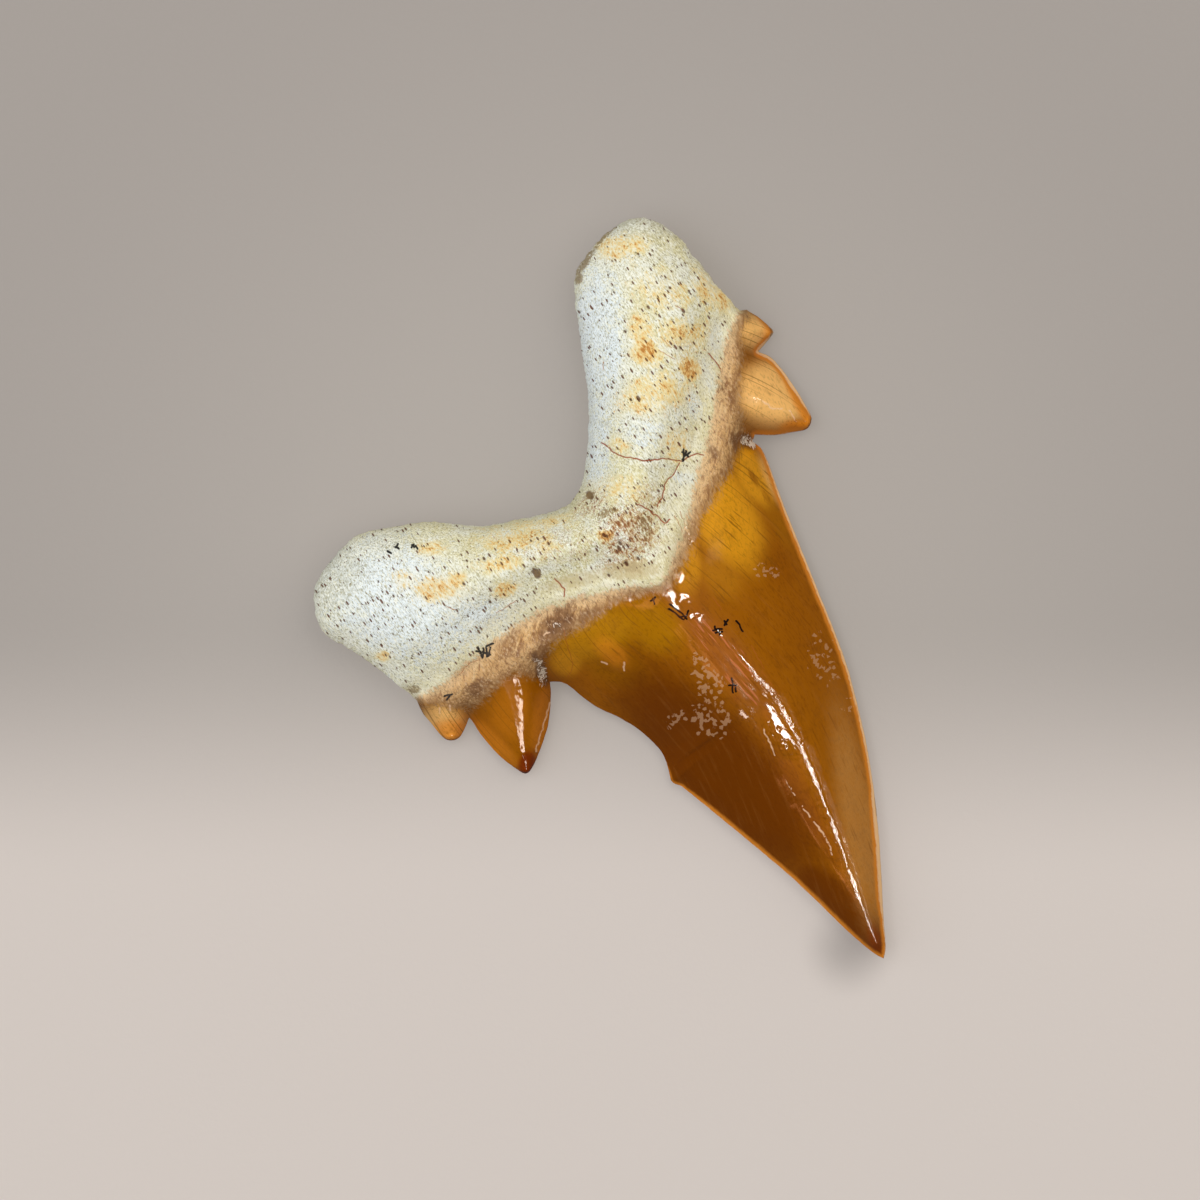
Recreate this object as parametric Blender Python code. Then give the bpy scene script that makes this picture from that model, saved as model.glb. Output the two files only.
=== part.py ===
"""Fossil tooth of a mackerel shark: a slanting blade with two side cusps at each foot, on a two-lobed root.

The tooth grew as one piece, so it is one solid. It lies on its flat outer (labial) face, with its full,
ridged inner (lingual) face up. The plan is one closed outline. A ridge network gives the height of the
inner face above every point of the plan, and a nearly level field gives the outer face below it.
"""

import math

import bmesh
import bpy
import numpy as np
from mathutils.geometry import delaunay_2d_cdt

MM = 0.001

# Driving dimensions, in millimetres. The longest straight line on the tooth, from the end of the upper
# lobe to the tip, is 78 mm. Points of the plan are measured from the middle of the view in which the
# tooth is drawn, x to the right and y up, with the tip at the lower right.
TIP = (28.4, -35.9)
DISTAL_LOBE_END = (-28.5, 0.0)
MESIAL_LOBE_END = (4.0, 38.3)
CUTTING_EDGE_Z = 1.3  # height of the sharp edge above the flat outer face
ROOT_EDGE_Z = 4.6  # height of the widest line round the root
TIP_LIFT = 1.2  # how far the end of the blade curves up off the flat
TIP_LIFT_START = (17.7, -10.0)

# The outline, clockwise from the foot of the small distal cusp. Each stretch is one smooth curve, and
# the corners are where two stretches meet.
ROOT_OUTLINE = [
    (-18.4, -10.0), (-20.0, -8.8), (-22.0, -7.1), (-25.0, -5.0), (-27.0, -3.9), (-28.2, -2.4),
    (-28.7, 0.0), (-28.3, 1.9), (-26.8, 4.2), (-24.2, 6.6), (-21.2, 7.3), (-17.0, 7.9), (-12.0, 7.5),
    (-8.0, 8.2), (-3.8, 9.3), (-2.1, 11.2), (-1.4, 14.8), (-1.3, 20.0), (-2.0, 25.5), (-2.7, 31.5),
    (-1.9, 33.8), (0.7, 36.8), (3.8, 38.3), (7.1, 37.0), (9.8, 34.0), (12.0, 31.2), (14.0, 29.0),
]
SMALL_MESIAL_CUSP = [
    [(14.0, 29.0), (14.7, 29.1)],
    [(14.7, 29.1), (16.1, 28.2), (17.2, 27.2), (17.4, 26.8), (17.0, 26.2), (15.9, 24.9)],
]
LARGE_MESIAL_CUSP = [
    [
        (15.9, 24.9), (17.4, 24.1), (19.4, 21.5), (21.0, 18.8), (21.2, 17.9), (20.7, 17.1), (19.4, 16.8),
        (17.5, 16.5), (15.5, 16.5),
    ],
    [(15.5, 16.5), (15.3, 15.9)],
]
MESIAL_CUTTING_EDGE = [
    (15.3, 15.9), (16.5, 14.6), (18.4, 9.6), (21.4, 2.1), (24.3, -5.2), (25.8, -10.4), (27.0, -16.0),
    (27.9, -23.0), (28.4, -31.6), (28.6, -34.8), TIP,
]
DISTAL_CUTTING_EDGE = [
    TIP, (27.3, -35.3), (24.8, -33.2), (21.0, -29.5), (17.9, -26.7), (13.1, -22.7), (8.7, -19.1),
    (8.0, -18.6),
]
CHIPPED_SPUR = [(8.0, -18.6), (7.4, -18.4), (7.1, -18.1), (7.0, -17.7)]
DISTAL_HEEL = [
    (7.0, -17.7), (6.6, -16.2), (5.9, -14.9), (4.1, -13.2), (2.1, -11.9), (-0.4, -10.7), (-1.9, -9.6),
    (-3.4, -8.4), (-4.3, -8.2), (-5.0, -8.2),
]
LARGE_DISTAL_CUSP = [
    (-5.0, -8.2), (-4.9, -9.6), (-5.2, -12.6), (-6.2, -15.6), (-6.9, -17.0), (-7.4, -17.4), (-8.0, -17.2),
    (-9.9, -15.8), (-11.8, -13.7), (-12.7, -12.3), (-13.1, -11.8),
]
SMALL_DISTAL_CUSP = [
    (-13.1, -11.8), (-13.4, -12.6), (-14.0, -13.7), (-14.8, -14.1), (-15.7, -13.8), (-17.0, -12.3),
    (-17.8, -11.3), (-18.4, -10.0),
]

# Where the root's bone ends on the inner face: a chevron that points at the tip.
NECK_LINE = [
    (14.0, 28.8), (12.8, 26.5), (12.0, 23.0), (11.1, 18.5), (10.4, 15.0), (9.4, 11.5), (8.5, 8.0),
    (7.7, 5.2), (6.5, 2.5), (5.0, 1.5), (2.5, 1.2), (0.0, 0.8), (-3.0, 0.0), (-6.0, -1.2), (-9.0, -2.8),
    (-11.2, -4.5), (-13.5, -6.5), (-15.5, -8.2), (-17.0, -9.1), (-18.4, -9.9),
]

# Where it ends on the outer face, on which the enamel reaches nearer to the notch between the lobes.
OUTER_NECK_LINE = [
    (14.0, 28.8), (11.6, 24.5), (9.6, 20.0), (7.4, 14.5), (5.0, 9.5), (2.4, 6.2), (-1.0, 4.4),
    (-5.5, 2.2), (-10.5, -1.4), (-14.5, -5.8), (-18.4, -9.9),
]

# The level band along the top of the blade, between the sharp crest on its mesial side and the soft
# shoulder on its distal side. The last column is the height of the crest there.
CREST = [
    (6.6, 2.0, 11.6), (10.0, -1.0, 11.3), (13.2, -4.6, 10.5), (15.7, -7.5, 9.7), (17.7, -10.0, 9.0),
    (20.0, -14.5, 7.9), (22.2, -19.8, 6.7), (24.0, -24.5, 5.6), (26.0, -30.0, 4.1), (27.6, -34.2, 2.9),
]
SHOULDER = [
    (6.0, 1.4), (8.6, -2.3), (11.6, -6.2), (14.4, -10.0), (16.5, -13.5), (18.9, -18.2), (21.2, -22.8),
    (23.4, -26.2), (25.7, -30.2), (27.6, -34.2),
]

# The other ridges that carry the inner face, as x, y and height: one along each side of the neck, and one
# up the middle of each cusp.
NECK_RIDGES = [
    [
        (6.6, 2.0, 11.5), (9.0, 7.0, 10.6), (11.0, 13.5, 8.8), (12.6, 19.0, 7.6), (13.4, 25.0, 6.0),
        (13.9, 28.0, 5.4),
    ],
    [
        (6.0, 1.4, 11.5), (0.0, -0.5, 10.6), (-4.5, -2.9, 9.2), (-9.5, -5.6, 7.8), (-14.0, -8.2, 6.2),
        (-17.3, -10.0, 5.4),
    ],
]
CUSP_RIDGES = [
    [(12.2, 18.8, 7.8), (15.5, 19.2, 5.8), (18.5, 18.4, 3.8), (20.6, 17.8, 2.4)],
    [(13.2, 26.0, 6.0), (15.2, 26.8, 4.2), (16.9, 26.8, 2.4)],
    [(-9.0, -5.4, 7.9), (-8.1, -8.6, 6.4), (-7.8, -12.4, 4.4), (-7.4, -16.8, 2.3)],
    [(-15.2, -8.8, 5.9), (-15.0, -11.0, 4.6), (-14.9, -13.4, 2.6)],
]
ROOT_RIDGE = [
    (-25.6, 1.0, 8.6), (-19.0, 1.3, 10.0), (-10.0, 2.9, 11.4), (-2.0, 5.0, 12.8), (3.2, 8.0, 13.2),
    (4.6, 14.0, 12.4), (5.2, 22.0, 11.2), (4.4, 29.0, 10.2), (3.4, 34.6, 8.8),
]

# The side of the neck line that is root, closed by corners that lie well outside the outline.
BEHIND_THE_NECK = [(-20.0, -12.0), (-40.0, -30.0), (-45.0, 55.0), (30.0, 55.0), (15.4, 30.6)]

# The blade's sections.
BAND_FALL = 0.16  # slope of the level band, down from the crest
BAND_WIDTH = 3.0
BLADE_FULLNESS = 0.5
CUSP_FULLNESS = 0.75
VALLEY_ROUNDING = 0.35  # softness of the valleys between the ridges, this far from the edge
VALLEY_REACH = 2.0
NOTCHES = [(15.3, 15.9), (-4.5, -8.2)]  # between the blade and the large cusps
NOTCH_REACH = 3.5
NOTCH_RISE = 1.2  # how far the sharp edge climbs into each notch
EDGE_CLIMB_START = 1.6  # the edge climbs to the root's from this far before the neck
EDGE_CLIMB = 4.0

# The root's sections and the outer face.
ROOT_ROUNDING = 5.6  # how far in from the edge the root's section is round
ROOT_CROWNING = 0.022  # drop of the root's back per square millimetre from its ridge
NECK_STEP = 1.1  # width of the slope from the root's rim down to the neck
NECK_STEP_HEIGHT = 0.75
RIM_RISE = 5.5  # how far the root's back keeps rising behind its rim
OUTER_ROUNDING = 4.6  # the same as ROOT_ROUNDING, on the outer face
OUTER_BLEND = 1.5  # half the width over which the blade's bevel becomes the root's rounding
OUTER_BEVEL = 6.5  # width of the band where the blade's outer face rises to the cutting edge
OUTER_HOLLOW = [(1.5, 9.5, 5.5, 0.8), (8.0, 17.0, 3.4, 0.35), (-8.0, 1.0, 3.4, 0.35)]  # x, y, radius, depth

# How finely the solid is faceted.
EDGE_SPACING = 0.95
FACE_SPACING = 1.04
EDGE_RINGS = [0.22, 0.75]  # distances in from the outline
LINE_SPACING = 0.9
LINE_INSET = 0.8  # lines and field stop this far from the outline
FIELD_INSET = 1.2
CLOSEST_ON_LINE = 0.42  # two points nearer than this make slivers
CLOSEST_IN_FIELD = 0.62
THINNEST = 0.05
CURVE_STEP = 0.8  # spacing of the points that stand for a ridge
FLAT_HEIGHT = 1e-4  # a face no higher than this is part of the flat
FLAT_ANGLE = math.radians(0.2)
SHARP_ANGLE = math.radians(38)

# Colours of the two main stretches of surface, as linear red, green and blue.
BONE_COLOUR = (0.68, 0.66, 0.52, 1.0)
ENAMEL_COLOUR = (0.30, 0.12, 0.02, 1.0)
BONE_ROUGHNESS = 0.8
ENAMEL_ROUGHNESS = 0.2


def smooth_curve(points, spacing):
    """Points a given distance apart along the Catmull-Rom curve through a list of points."""
    knots = np.array(points, float)
    padded = np.vstack([2 * knots[0] - knots[1], knots, 2 * knots[-1] - knots[-2]])
    steps = np.linspace(0.0, 1.0, 24, endpoint=False)[:, None]
    fine = []
    for before, start, end, after in zip(padded, padded[1:], padded[2:], padded[3:]):
        fine.append(0.5 * (
            2 * start
            + (end - before) * steps
            + (2 * before - 5 * start + 4 * end - after) * steps**2
            + (3 * start - before - 3 * end + after) * steps**3
        ))
    fine = np.vstack([*fine, knots[-1:]])
    run = np.concatenate([[0.0], np.cumsum(np.linalg.norm(np.diff(fine, axis=0), axis=1))])
    places = np.linspace(0.0, run[-1], max(2, round(run[-1] / spacing)) + 1)
    return np.stack([np.interp(places, run, fine[:, axis]) for axis in range(fine.shape[1])], axis=1)


def outline(spacing):
    """The closed outline of the plan, clockwise, with the corners between its stretches kept."""
    stretches = [
        ROOT_OUTLINE, *SMALL_MESIAL_CUSP, *LARGE_MESIAL_CUSP, MESIAL_CUTTING_EDGE, DISTAL_CUTTING_EDGE,
        CHIPPED_SPUR, DISTAL_HEEL, LARGE_DISTAL_CUSP, SMALL_DISTAL_CUSP,
    ]
    return np.vstack([smooth_curve(stretch, spacing)[:-1] for stretch in stretches])


def nearest_on(line, points):
    """Distance from each point to a polyline, and the line's own value at the nearest place.

    A line with a third column gives that column's value, and any other gives 0.
    """
    line = np.asarray(line, float)
    values = line[:, 2] if line.shape[1] > 2 else np.zeros(len(line))
    best = np.full(len(points), np.inf)
    value = np.zeros(len(points))
    for start, end, low, high in zip(line[:-1, :2], line[1:, :2], values, values[1:]):
        along = end - start
        share = np.clip((points - start) @ along / max(along @ along, 1e-12), 0.0, 1.0)
        away = np.linalg.norm(points - start - share[:, None] * along, axis=1)
        nearer = away < best
        best = np.where(nearer, away, best)
        value = np.where(nearer, low + (high - low) * share, value)
    return best, value


def inside(polygon, points):
    """True for each point that lies inside a closed polygon."""
    x, y = points[:, 0], points[:, 1]
    found = np.zeros(len(points), bool)
    for (x0, y0), (x1, y1) in zip(polygon, np.roll(polygon, -1, axis=0)):
        if y0 == y1:
            continue
        crosses = (y0 > y) != (y1 > y)
        found ^= crosses & (x < x0 + (y - y0) * (x1 - x0) / (y1 - y0))
    return found


def ease(share):
    """0 below 0, 1 above 1, and a smooth step between."""
    share = np.clip(share, 0.0, 1.0)
    return share * share * (3.0 - 2.0 * share)


def quarter_round(share):
    """The height of a quarter of an ellipse, from 0 at its edge to 1."""
    return np.sqrt(1.0 - (1.0 - np.clip(share, 0.0, 1.0)) ** 2)


def convex(share, fullness):
    """A slope from edge to ridge: straight at fullness 0 and round at 1."""
    return (1.0 - fullness) * share + fullness * np.sin(share * math.pi / 2)


def into_root(points):
    """How far each point is past the neck line, positive on the root's side."""
    neck = smooth_curve(NECK_LINE, 0.6)
    root = np.vstack([neck, BEHIND_THE_NECK])
    away, _ = nearest_on(neck, points)
    return np.where(inside(root, points), away, -away)


def edge_height(points, past_neck):
    """The height of the widest line: low along the cutting edges, and half way up the root."""
    low = np.full(len(points), CUTTING_EDGE_Z)
    for notch in NOTCHES:
        away = np.linalg.norm(points - notch, axis=1)
        low += NOTCH_RISE * ease(1.0 - away / NOTCH_REACH)
    return low + (ROOT_EDGE_Z - low) * ease((past_neck + EDGE_CLIMB_START) / EDGE_CLIMB)


def tip_lift(points):
    """How far the end of the blade curves up, from nothing half way along it."""
    along = np.subtract(TIP, TIP_LIFT_START)
    share = (points - TIP_LIFT_START) @ along / (along @ along)
    return TIP_LIFT * np.clip(share, 0.0, 1.0) ** 2


def blade_height(points, from_edge, edge):
    """The blade: a level band along the crest, and a slope from it to each cutting edge."""
    crest = smooth_curve(CREST, CURVE_STEP)
    shoulder = smooth_curve(SHOULDER, CURVE_STEP)
    band = np.vstack([crest[:, :2], shoulder[::-1]])
    to_crest, height = nearest_on(crest, points)
    to_shoulder, _ = nearest_on(shoulder, points)
    away = np.where(inside(band, points), 0.0, np.minimum(to_crest, to_shoulder))
    share = from_edge / (from_edge + away + 1e-6)
    top = height - BAND_FALL * np.minimum(to_crest, BAND_WIDTH)
    return edge + (top - edge) * convex(share, BLADE_FULLNESS)


def ridge_height(ridge, points, from_edge, edge):
    """The slope from one ridge down to the outline."""
    away, height = nearest_on(smooth_curve(ridge, CURVE_STEP), points)
    share = from_edge / (from_edge + away + 1e-6)
    return edge + (height - edge) * convex(share, CUSP_FULLNESS)


def soft_maximum(fields, softness):
    """The highest of several fields, with the valleys between them rounded."""
    top = np.max(fields, axis=0)
    return top + softness * np.log(sum(np.exp((field - top) / softness) for field in fields))


def inner_height(points, from_edge, past_neck):
    """The inner face above each point of the plan."""
    edge = edge_height(points, past_neck)
    fields = [blade_height(points, from_edge, edge)]
    fields += [ridge_height(ridge, points, from_edge, edge) for ridge in NECK_RIDGES + CUSP_RIDGES]
    softness = np.maximum(VALLEY_ROUNDING * ease(from_edge / VALLEY_REACH), 1e-3)
    crown = soft_maximum(fields, softness)
    to_ridge, back = nearest_on(smooth_curve(ROOT_RIDGE, CURVE_STEP), points)
    back = back - ROOT_CROWNING * to_ridge**2
    root = edge + (back - edge) * quarter_round(from_edge / ROOT_ROUNDING)
    rim = crown + NECK_STEP_HEIGHT * ease(past_neck / NECK_STEP + 0.5)
    return rim + (root - rim) * ease(past_neck / RIM_RISE) + tip_lift(points)


def outer_height(points, from_edge, past_neck):
    """The outer face below each point: level in the middle, and rising to the outline."""
    edge = edge_height(points, past_neck)
    bone = ease((past_neck / OUTER_BLEND + 1.0) / 2.0)
    sharp = (1.0 - np.clip(from_edge / OUTER_BEVEL, 0.0, 1.0)) ** 2
    round_under = 1.0 - quarter_round(from_edge / OUTER_ROUNDING)
    height = edge * (sharp + (round_under - sharp) * bone)
    for x, y, radius, depth in OUTER_HOLLOW:
        away = np.linalg.norm(points - (x, y), axis=1)
        height = height + depth * ease(1.0 - away / radius)
    return height + tip_lift(points)


def beside(line, offset):
    """A line moved sideways, to its right for a positive offset."""
    forward = np.gradient(line, axis=0)
    forward /= np.linalg.norm(forward, axis=1)[:, None]
    return line + offset * np.stack([forward[:, 1], -forward[:, 0]], axis=1)


def plan_points(rim):
    """Points inside the outline, and the pairs of them that lie along a crest, a shoulder or the neck."""
    neck = smooth_curve(NECK_LINE, LINE_SPACING)
    ridges = [CREST, SHOULDER, *CUSP_RIDGES]
    lines = [smooth_curve([point[:2] for point in ridge], LINE_SPACING) for ridge in ridges]
    lines += [beside(neck, -NECK_STEP / 2), beside(neck, NECK_STEP / 2)]
    kept = np.zeros((0, 2))
    joined = []

    def clear_of_kept(points, gap):
        return [p for p in points if not len(kept) or np.linalg.norm(kept - p, axis=1).min() > gap]

    for line in lines:
        away, _ = nearest_on(rim, line)
        run = clear_of_kept(line[(away > LINE_INSET) & inside(rim[:-1], line)], CLOSEST_ON_LINE)
        joined += [(len(kept) + n, len(kept) + n + 1) for n in range(len(run) - 1)]
        kept = np.vstack([kept, *run])
    for inset in EDGE_RINGS:
        ring = beside(outline(EDGE_SPACING), inset)
        away, _ = nearest_on(rim, ring)
        ring = clear_of_kept(ring[(away > 0.93 * inset) & inside(rim[:-1], ring)], CLOSEST_ON_LINE)
        kept = np.vstack([kept, *ring])
    low, high = rim.min(axis=0), rim.max(axis=0)
    row_height = FACE_SPACING * math.sqrt(3) / 2
    field = np.array([
        (x + (row % 2) * FACE_SPACING / 2, y)
        for row, y in enumerate(np.arange(low[1], high[1], row_height))
        for x in np.arange(low[0], high[0], FACE_SPACING)
    ])
    away, _ = nearest_on(rim, field)
    field = clear_of_kept(field[(away > FIELD_INSET) & inside(rim[:-1], field)], CLOSEST_IN_FIELD)
    return np.vstack([kept, *field]), joined


def view_to_tooth(points, rim):
    """Turns the plan from the view to the tooth's own frame, with the two lobes' ends level on +Y."""
    across = np.array(MESIAL_LOBE_END) - np.array(DISTAL_LOBE_END)
    across /= np.linalg.norm(across)
    turn = np.array([[across[0], -across[1]], [across[1], across[0]]])
    turned = rim @ turn
    return points @ turn - (turned.min(axis=0) + turned.max(axis=0)) / 2


def tooth_mesh():
    """One closed mesh: the plan cut into triangles, once for each face, joined along the outline."""
    rim = outline(EDGE_SPACING)
    closed = np.vstack([rim, rim[:1]])
    within, joined = plan_points(closed)
    edges = [(n, (n + 1) % len(rim)) for n in range(len(rim))]
    edges += [(len(rim) + start, len(rim) + end) for start, end in joined]
    found = delaunay_2d_cdt([tuple(point) for point in np.vstack([rim, within])], edges, [], 1, 1e-7)
    plan = np.array([tuple(point) for point in found[0]])
    from_edge, _ = nearest_on(closed, plan)
    on_rim = from_edge < 1e-4
    from_edge[on_rim] = 0.0
    past_neck = into_root(plan)
    inner = inner_height(plan, from_edge, past_neck)
    outer = outer_height(plan, from_edge, past_neck)
    edge = edge_height(plan, past_neck) + tip_lift(plan)
    inner = np.where(on_rim, edge, np.maximum(inner, outer + THINNEST))
    outer = np.where(on_rim, edge, outer)
    placed = view_to_tooth(plan, rim)

    bm = bmesh.new()
    above = [bm.verts.new((x * MM, y * MM, z * MM)) for (x, y), z in zip(placed, inner)]
    below = [
        vert if rim_point else bm.verts.new((x * MM, y * MM, z * MM))
        for vert, rim_point, (x, y), z in zip(above, on_rim, placed, outer)
    ]
    for corners in found[2]:
        bm.faces.new([above[n] for n in corners])
        bm.faces.new([below[n] for n in reversed(corners)])
    bmesh.ops.recalc_face_normals(bm, faces=bm.faces)
    flat = [face for face in bm.faces if max(vert.co.z for vert in face.verts) < FLAT_HEIGHT * MM]
    level_edges = {edge for face in flat for edge in face.edges}
    level_verts = {vert for face in flat for vert in face.verts}
    bmesh.ops.dissolve_limit(
        bm, angle_limit=FLAT_ANGLE, use_dissolve_boundaries=False, verts=list(level_verts),
        edges=list(level_edges), delimit=set(),
    )
    bmesh.ops.triangulate(bm, faces=[face for face in bm.faces if len(face.verts) > 3])
    mesh = bpy.data.meshes.new("tooth")
    bm.to_mesh(mesh)
    bm.free()
    mesh.shade_smooth()
    mesh.set_sharp_from_angle(angle=SHARP_ANGLE)
    return mesh


def surface(name, colour, roughness):
    """A plain Principled material."""
    material = bpy.data.materials.new(name)
    material.use_nodes = True
    shader = material.node_tree.nodes["Principled BSDF"]
    shader.inputs["Base Color"].default_value = colour
    shader.inputs["Roughness"].default_value = roughness
    shader.inputs["Metallic"].default_value = 0.0
    return material


def colour_faces(mesh):
    """Gives the faces of the root the bone material, and the rest the enamel."""
    mesh.materials.append(surface("fossil_enamel", ENAMEL_COLOUR, ENAMEL_ROUGHNESS))
    mesh.materials.append(surface("fossil_bone", BONE_COLOUR, BONE_ROUGHNESS))
    rim = outline(EDGE_SPACING)
    lobes = smooth_curve(ROOT_OUTLINE, EDGE_SPACING)
    centres = np.array([tuple(face.center)[:2] for face in mesh.polygons]) / MM
    for line, side in ((NECK_LINE, 1), (OUTER_NECK_LINE, -1)):
        root = view_to_tooth(np.vstack([lobes, smooth_curve(line, LINE_SPACING)]), rim)
        for face, is_root in zip(mesh.polygons, inside(root, centres)):
            if face.normal.z * side > 0:
                face.material_index = int(is_root)


def main():
    for old in list(bpy.data.objects):
        bpy.data.objects.remove(old)
    mesh = tooth_mesh()
    colour_faces(mesh)
    tooth = bpy.data.objects.new("tooth", mesh)
    bpy.context.scene.collection.objects.link(tooth)


main()
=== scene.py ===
"""Looks of a fossil shark tooth: glossy amber enamel over a chalky, pitted root, lying on graded paper."""

import math

import bmesh
import bpy
import numpy as np
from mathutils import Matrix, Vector, kdtree, noise


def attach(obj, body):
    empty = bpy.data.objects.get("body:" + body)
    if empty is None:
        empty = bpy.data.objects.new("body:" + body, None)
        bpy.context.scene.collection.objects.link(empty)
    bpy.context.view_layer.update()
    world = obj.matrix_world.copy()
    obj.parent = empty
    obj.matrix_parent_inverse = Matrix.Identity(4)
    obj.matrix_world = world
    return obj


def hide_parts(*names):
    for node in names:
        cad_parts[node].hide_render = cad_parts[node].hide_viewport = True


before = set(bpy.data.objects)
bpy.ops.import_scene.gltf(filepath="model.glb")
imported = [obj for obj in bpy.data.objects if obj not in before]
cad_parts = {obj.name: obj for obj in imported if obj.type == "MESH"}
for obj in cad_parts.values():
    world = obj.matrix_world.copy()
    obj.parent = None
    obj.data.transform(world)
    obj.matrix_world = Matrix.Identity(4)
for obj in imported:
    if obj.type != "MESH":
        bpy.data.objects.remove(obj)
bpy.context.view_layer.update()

# The view. The tooth lies flat and the camera looks straight down on it. Places on the tooth are measured
# in view millimetres, from the middle of the view, x to the right and y up. The two lobes of the root
# lie level on +Y in the tooth's own frame, which turns the view by the angle between them.
MM = 0.001
DISTAL_LOBE_END = (-28.5, 0.0)
MESIAL_LOBE_END = (4.0, 38.3)
VIEW_WIDTH = 120.0
VIEW_PLANE = 3.0  # height at which the view is that wide, near the widest line of the tooth
CAMERA_DISTANCE = 900.0

across_lobes = np.subtract(MESIAL_LOBE_END, DISTAL_LOBE_END)
across_lobes /= np.linalg.norm(across_lobes)
view_turn = np.array([[across_lobes[0], -across_lobes[1]], [across_lobes[1], across_lobes[0]]])
view_angle = -math.atan2(across_lobes[1], across_lobes[0])


def smooth_curve(points, spacing):
    """Points a given distance apart along the Catmull-Rom curve through a list of points."""
    knots = np.array(points, float)
    padded = np.vstack([2 * knots[0] - knots[1], knots, 2 * knots[-1] - knots[-2]])
    steps = np.linspace(0.0, 1.0, 24, endpoint=False)[:, None]
    fine = []
    for before, start, end, after in zip(padded, padded[1:], padded[2:], padded[3:]):
        fine.append(0.5 * (
            2 * start
            + (end - before) * steps
            + (2 * before - 5 * start + 4 * end - after) * steps**2
            + (3 * start - before - 3 * end + after) * steps**3
        ))
    fine = np.vstack([*fine, knots[-1:]])
    run = np.concatenate([[0.0], np.cumsum(np.linalg.norm(np.diff(fine, axis=0), axis=1))])
    places = np.linspace(0.0, run[-1], max(2, round(run[-1] / spacing)) + 1)
    return np.stack([np.interp(places, run, fine[:, axis]) for axis in range(fine.shape[1])], axis=1)


TIP = (28.4, -35.9)
ROOT_OUTLINE = [
    (-18.4, -10.0), (-20.0, -8.8), (-22.0, -7.1), (-25.0, -5.0), (-27.0, -3.9), (-28.2, -2.4),
    (-28.7, 0.0), (-28.3, 1.9), (-26.8, 4.2), (-24.2, 6.6), (-21.2, 7.3), (-17.0, 7.9), (-12.0, 7.5),
    (-8.0, 8.2), (-3.8, 9.3), (-2.1, 11.2), (-1.4, 14.8), (-1.3, 20.0), (-2.0, 25.5), (-2.7, 31.5),
    (-1.9, 33.8), (0.7, 36.8), (3.8, 38.3), (7.1, 37.0), (9.8, 34.0), (12.0, 31.2), (14.0, 29.0),
]
CROWN_OUTLINE = [
    [(14.0, 29.0), (14.7, 29.1)],
    [(14.7, 29.1), (16.1, 28.2), (17.2, 27.2), (17.4, 26.8), (17.0, 26.2), (15.9, 24.9)],
    [
        (15.9, 24.9), (17.4, 24.1), (19.4, 21.5), (21.0, 18.8), (21.2, 17.9), (20.7, 17.1), (19.4, 16.8),
        (17.5, 16.5), (15.5, 16.5),
    ],
    [(15.5, 16.5), (15.3, 15.9)],
    [
        (15.3, 15.9), (16.5, 14.6), (18.4, 9.6), (21.4, 2.1), (24.3, -5.2), (25.8, -10.4), (27.0, -16.0),
        (27.9, -23.0), (28.4, -31.6), (28.6, -34.8), TIP,
    ],
    [
        TIP, (27.3, -35.3), (24.8, -33.2), (21.0, -29.5), (17.9, -26.7), (13.1, -22.7), (8.7, -19.1),
        (8.0, -18.6),
    ],
    [(8.0, -18.6), (7.4, -18.4), (7.1, -18.1), (7.0, -17.7)],
    [
        (7.0, -17.7), (6.6, -16.2), (5.9, -14.9), (4.1, -13.2), (2.1, -11.9), (-0.4, -10.7), (-1.9, -9.6),
        (-3.4, -8.4), (-4.3, -8.2), (-5.0, -8.2),
    ],
    [
        (-5.0, -8.2), (-4.9, -9.6), (-5.2, -12.6), (-6.2, -15.6), (-6.9, -17.0), (-7.4, -17.4),
        (-8.0, -17.2), (-9.9, -15.8), (-11.8, -13.7), (-12.7, -12.3), (-13.1, -11.8),
    ],
    [
        (-13.1, -11.8), (-13.4, -12.6), (-14.0, -13.7), (-14.8, -14.1), (-15.7, -13.8), (-17.0, -12.3),
        (-17.8, -11.3), (-18.4, -10.0),
    ],
]
OUTLINE_STEP = 0.95


def outline(spacing):
    """The closed outline of the tooth's plan, clockwise from the foot of the small distal cusp."""
    return np.vstack([smooth_curve(stretch, spacing)[:-1] for stretch in [ROOT_OUTLINE, *CROWN_OUTLINE]])


turned_outline = outline(OUTLINE_STEP) @ view_turn
plan_middle = (turned_outline.min(axis=0) + turned_outline.max(axis=0)) / 2


def view_to_frame(x, y, z):
    """A place in view millimetres as a vector in the frame's metres."""
    across, along = np.array([x, y]) @ view_turn - plan_middle
    return Vector((across * MM, along * MM, z * MM))


camera_data = bpy.data.cameras.new("camera")
camera_data.sensor_fit = "HORIZONTAL"
camera_data.angle = 2 * math.atan(VIEW_WIDTH / 2 / CAMERA_DISTANCE)
camera = bpy.data.objects.new("camera", camera_data)
bpy.context.scene.collection.objects.link(camera)
camera.location = view_to_frame(0.0, 0.0, VIEW_PLANE + CAMERA_DISTANCE)
camera.rotation_euler = (0.0, 0.0, view_angle)
bpy.context.scene.camera = camera
bpy.context.scene.view_settings.view_transform = "Standard"


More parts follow.
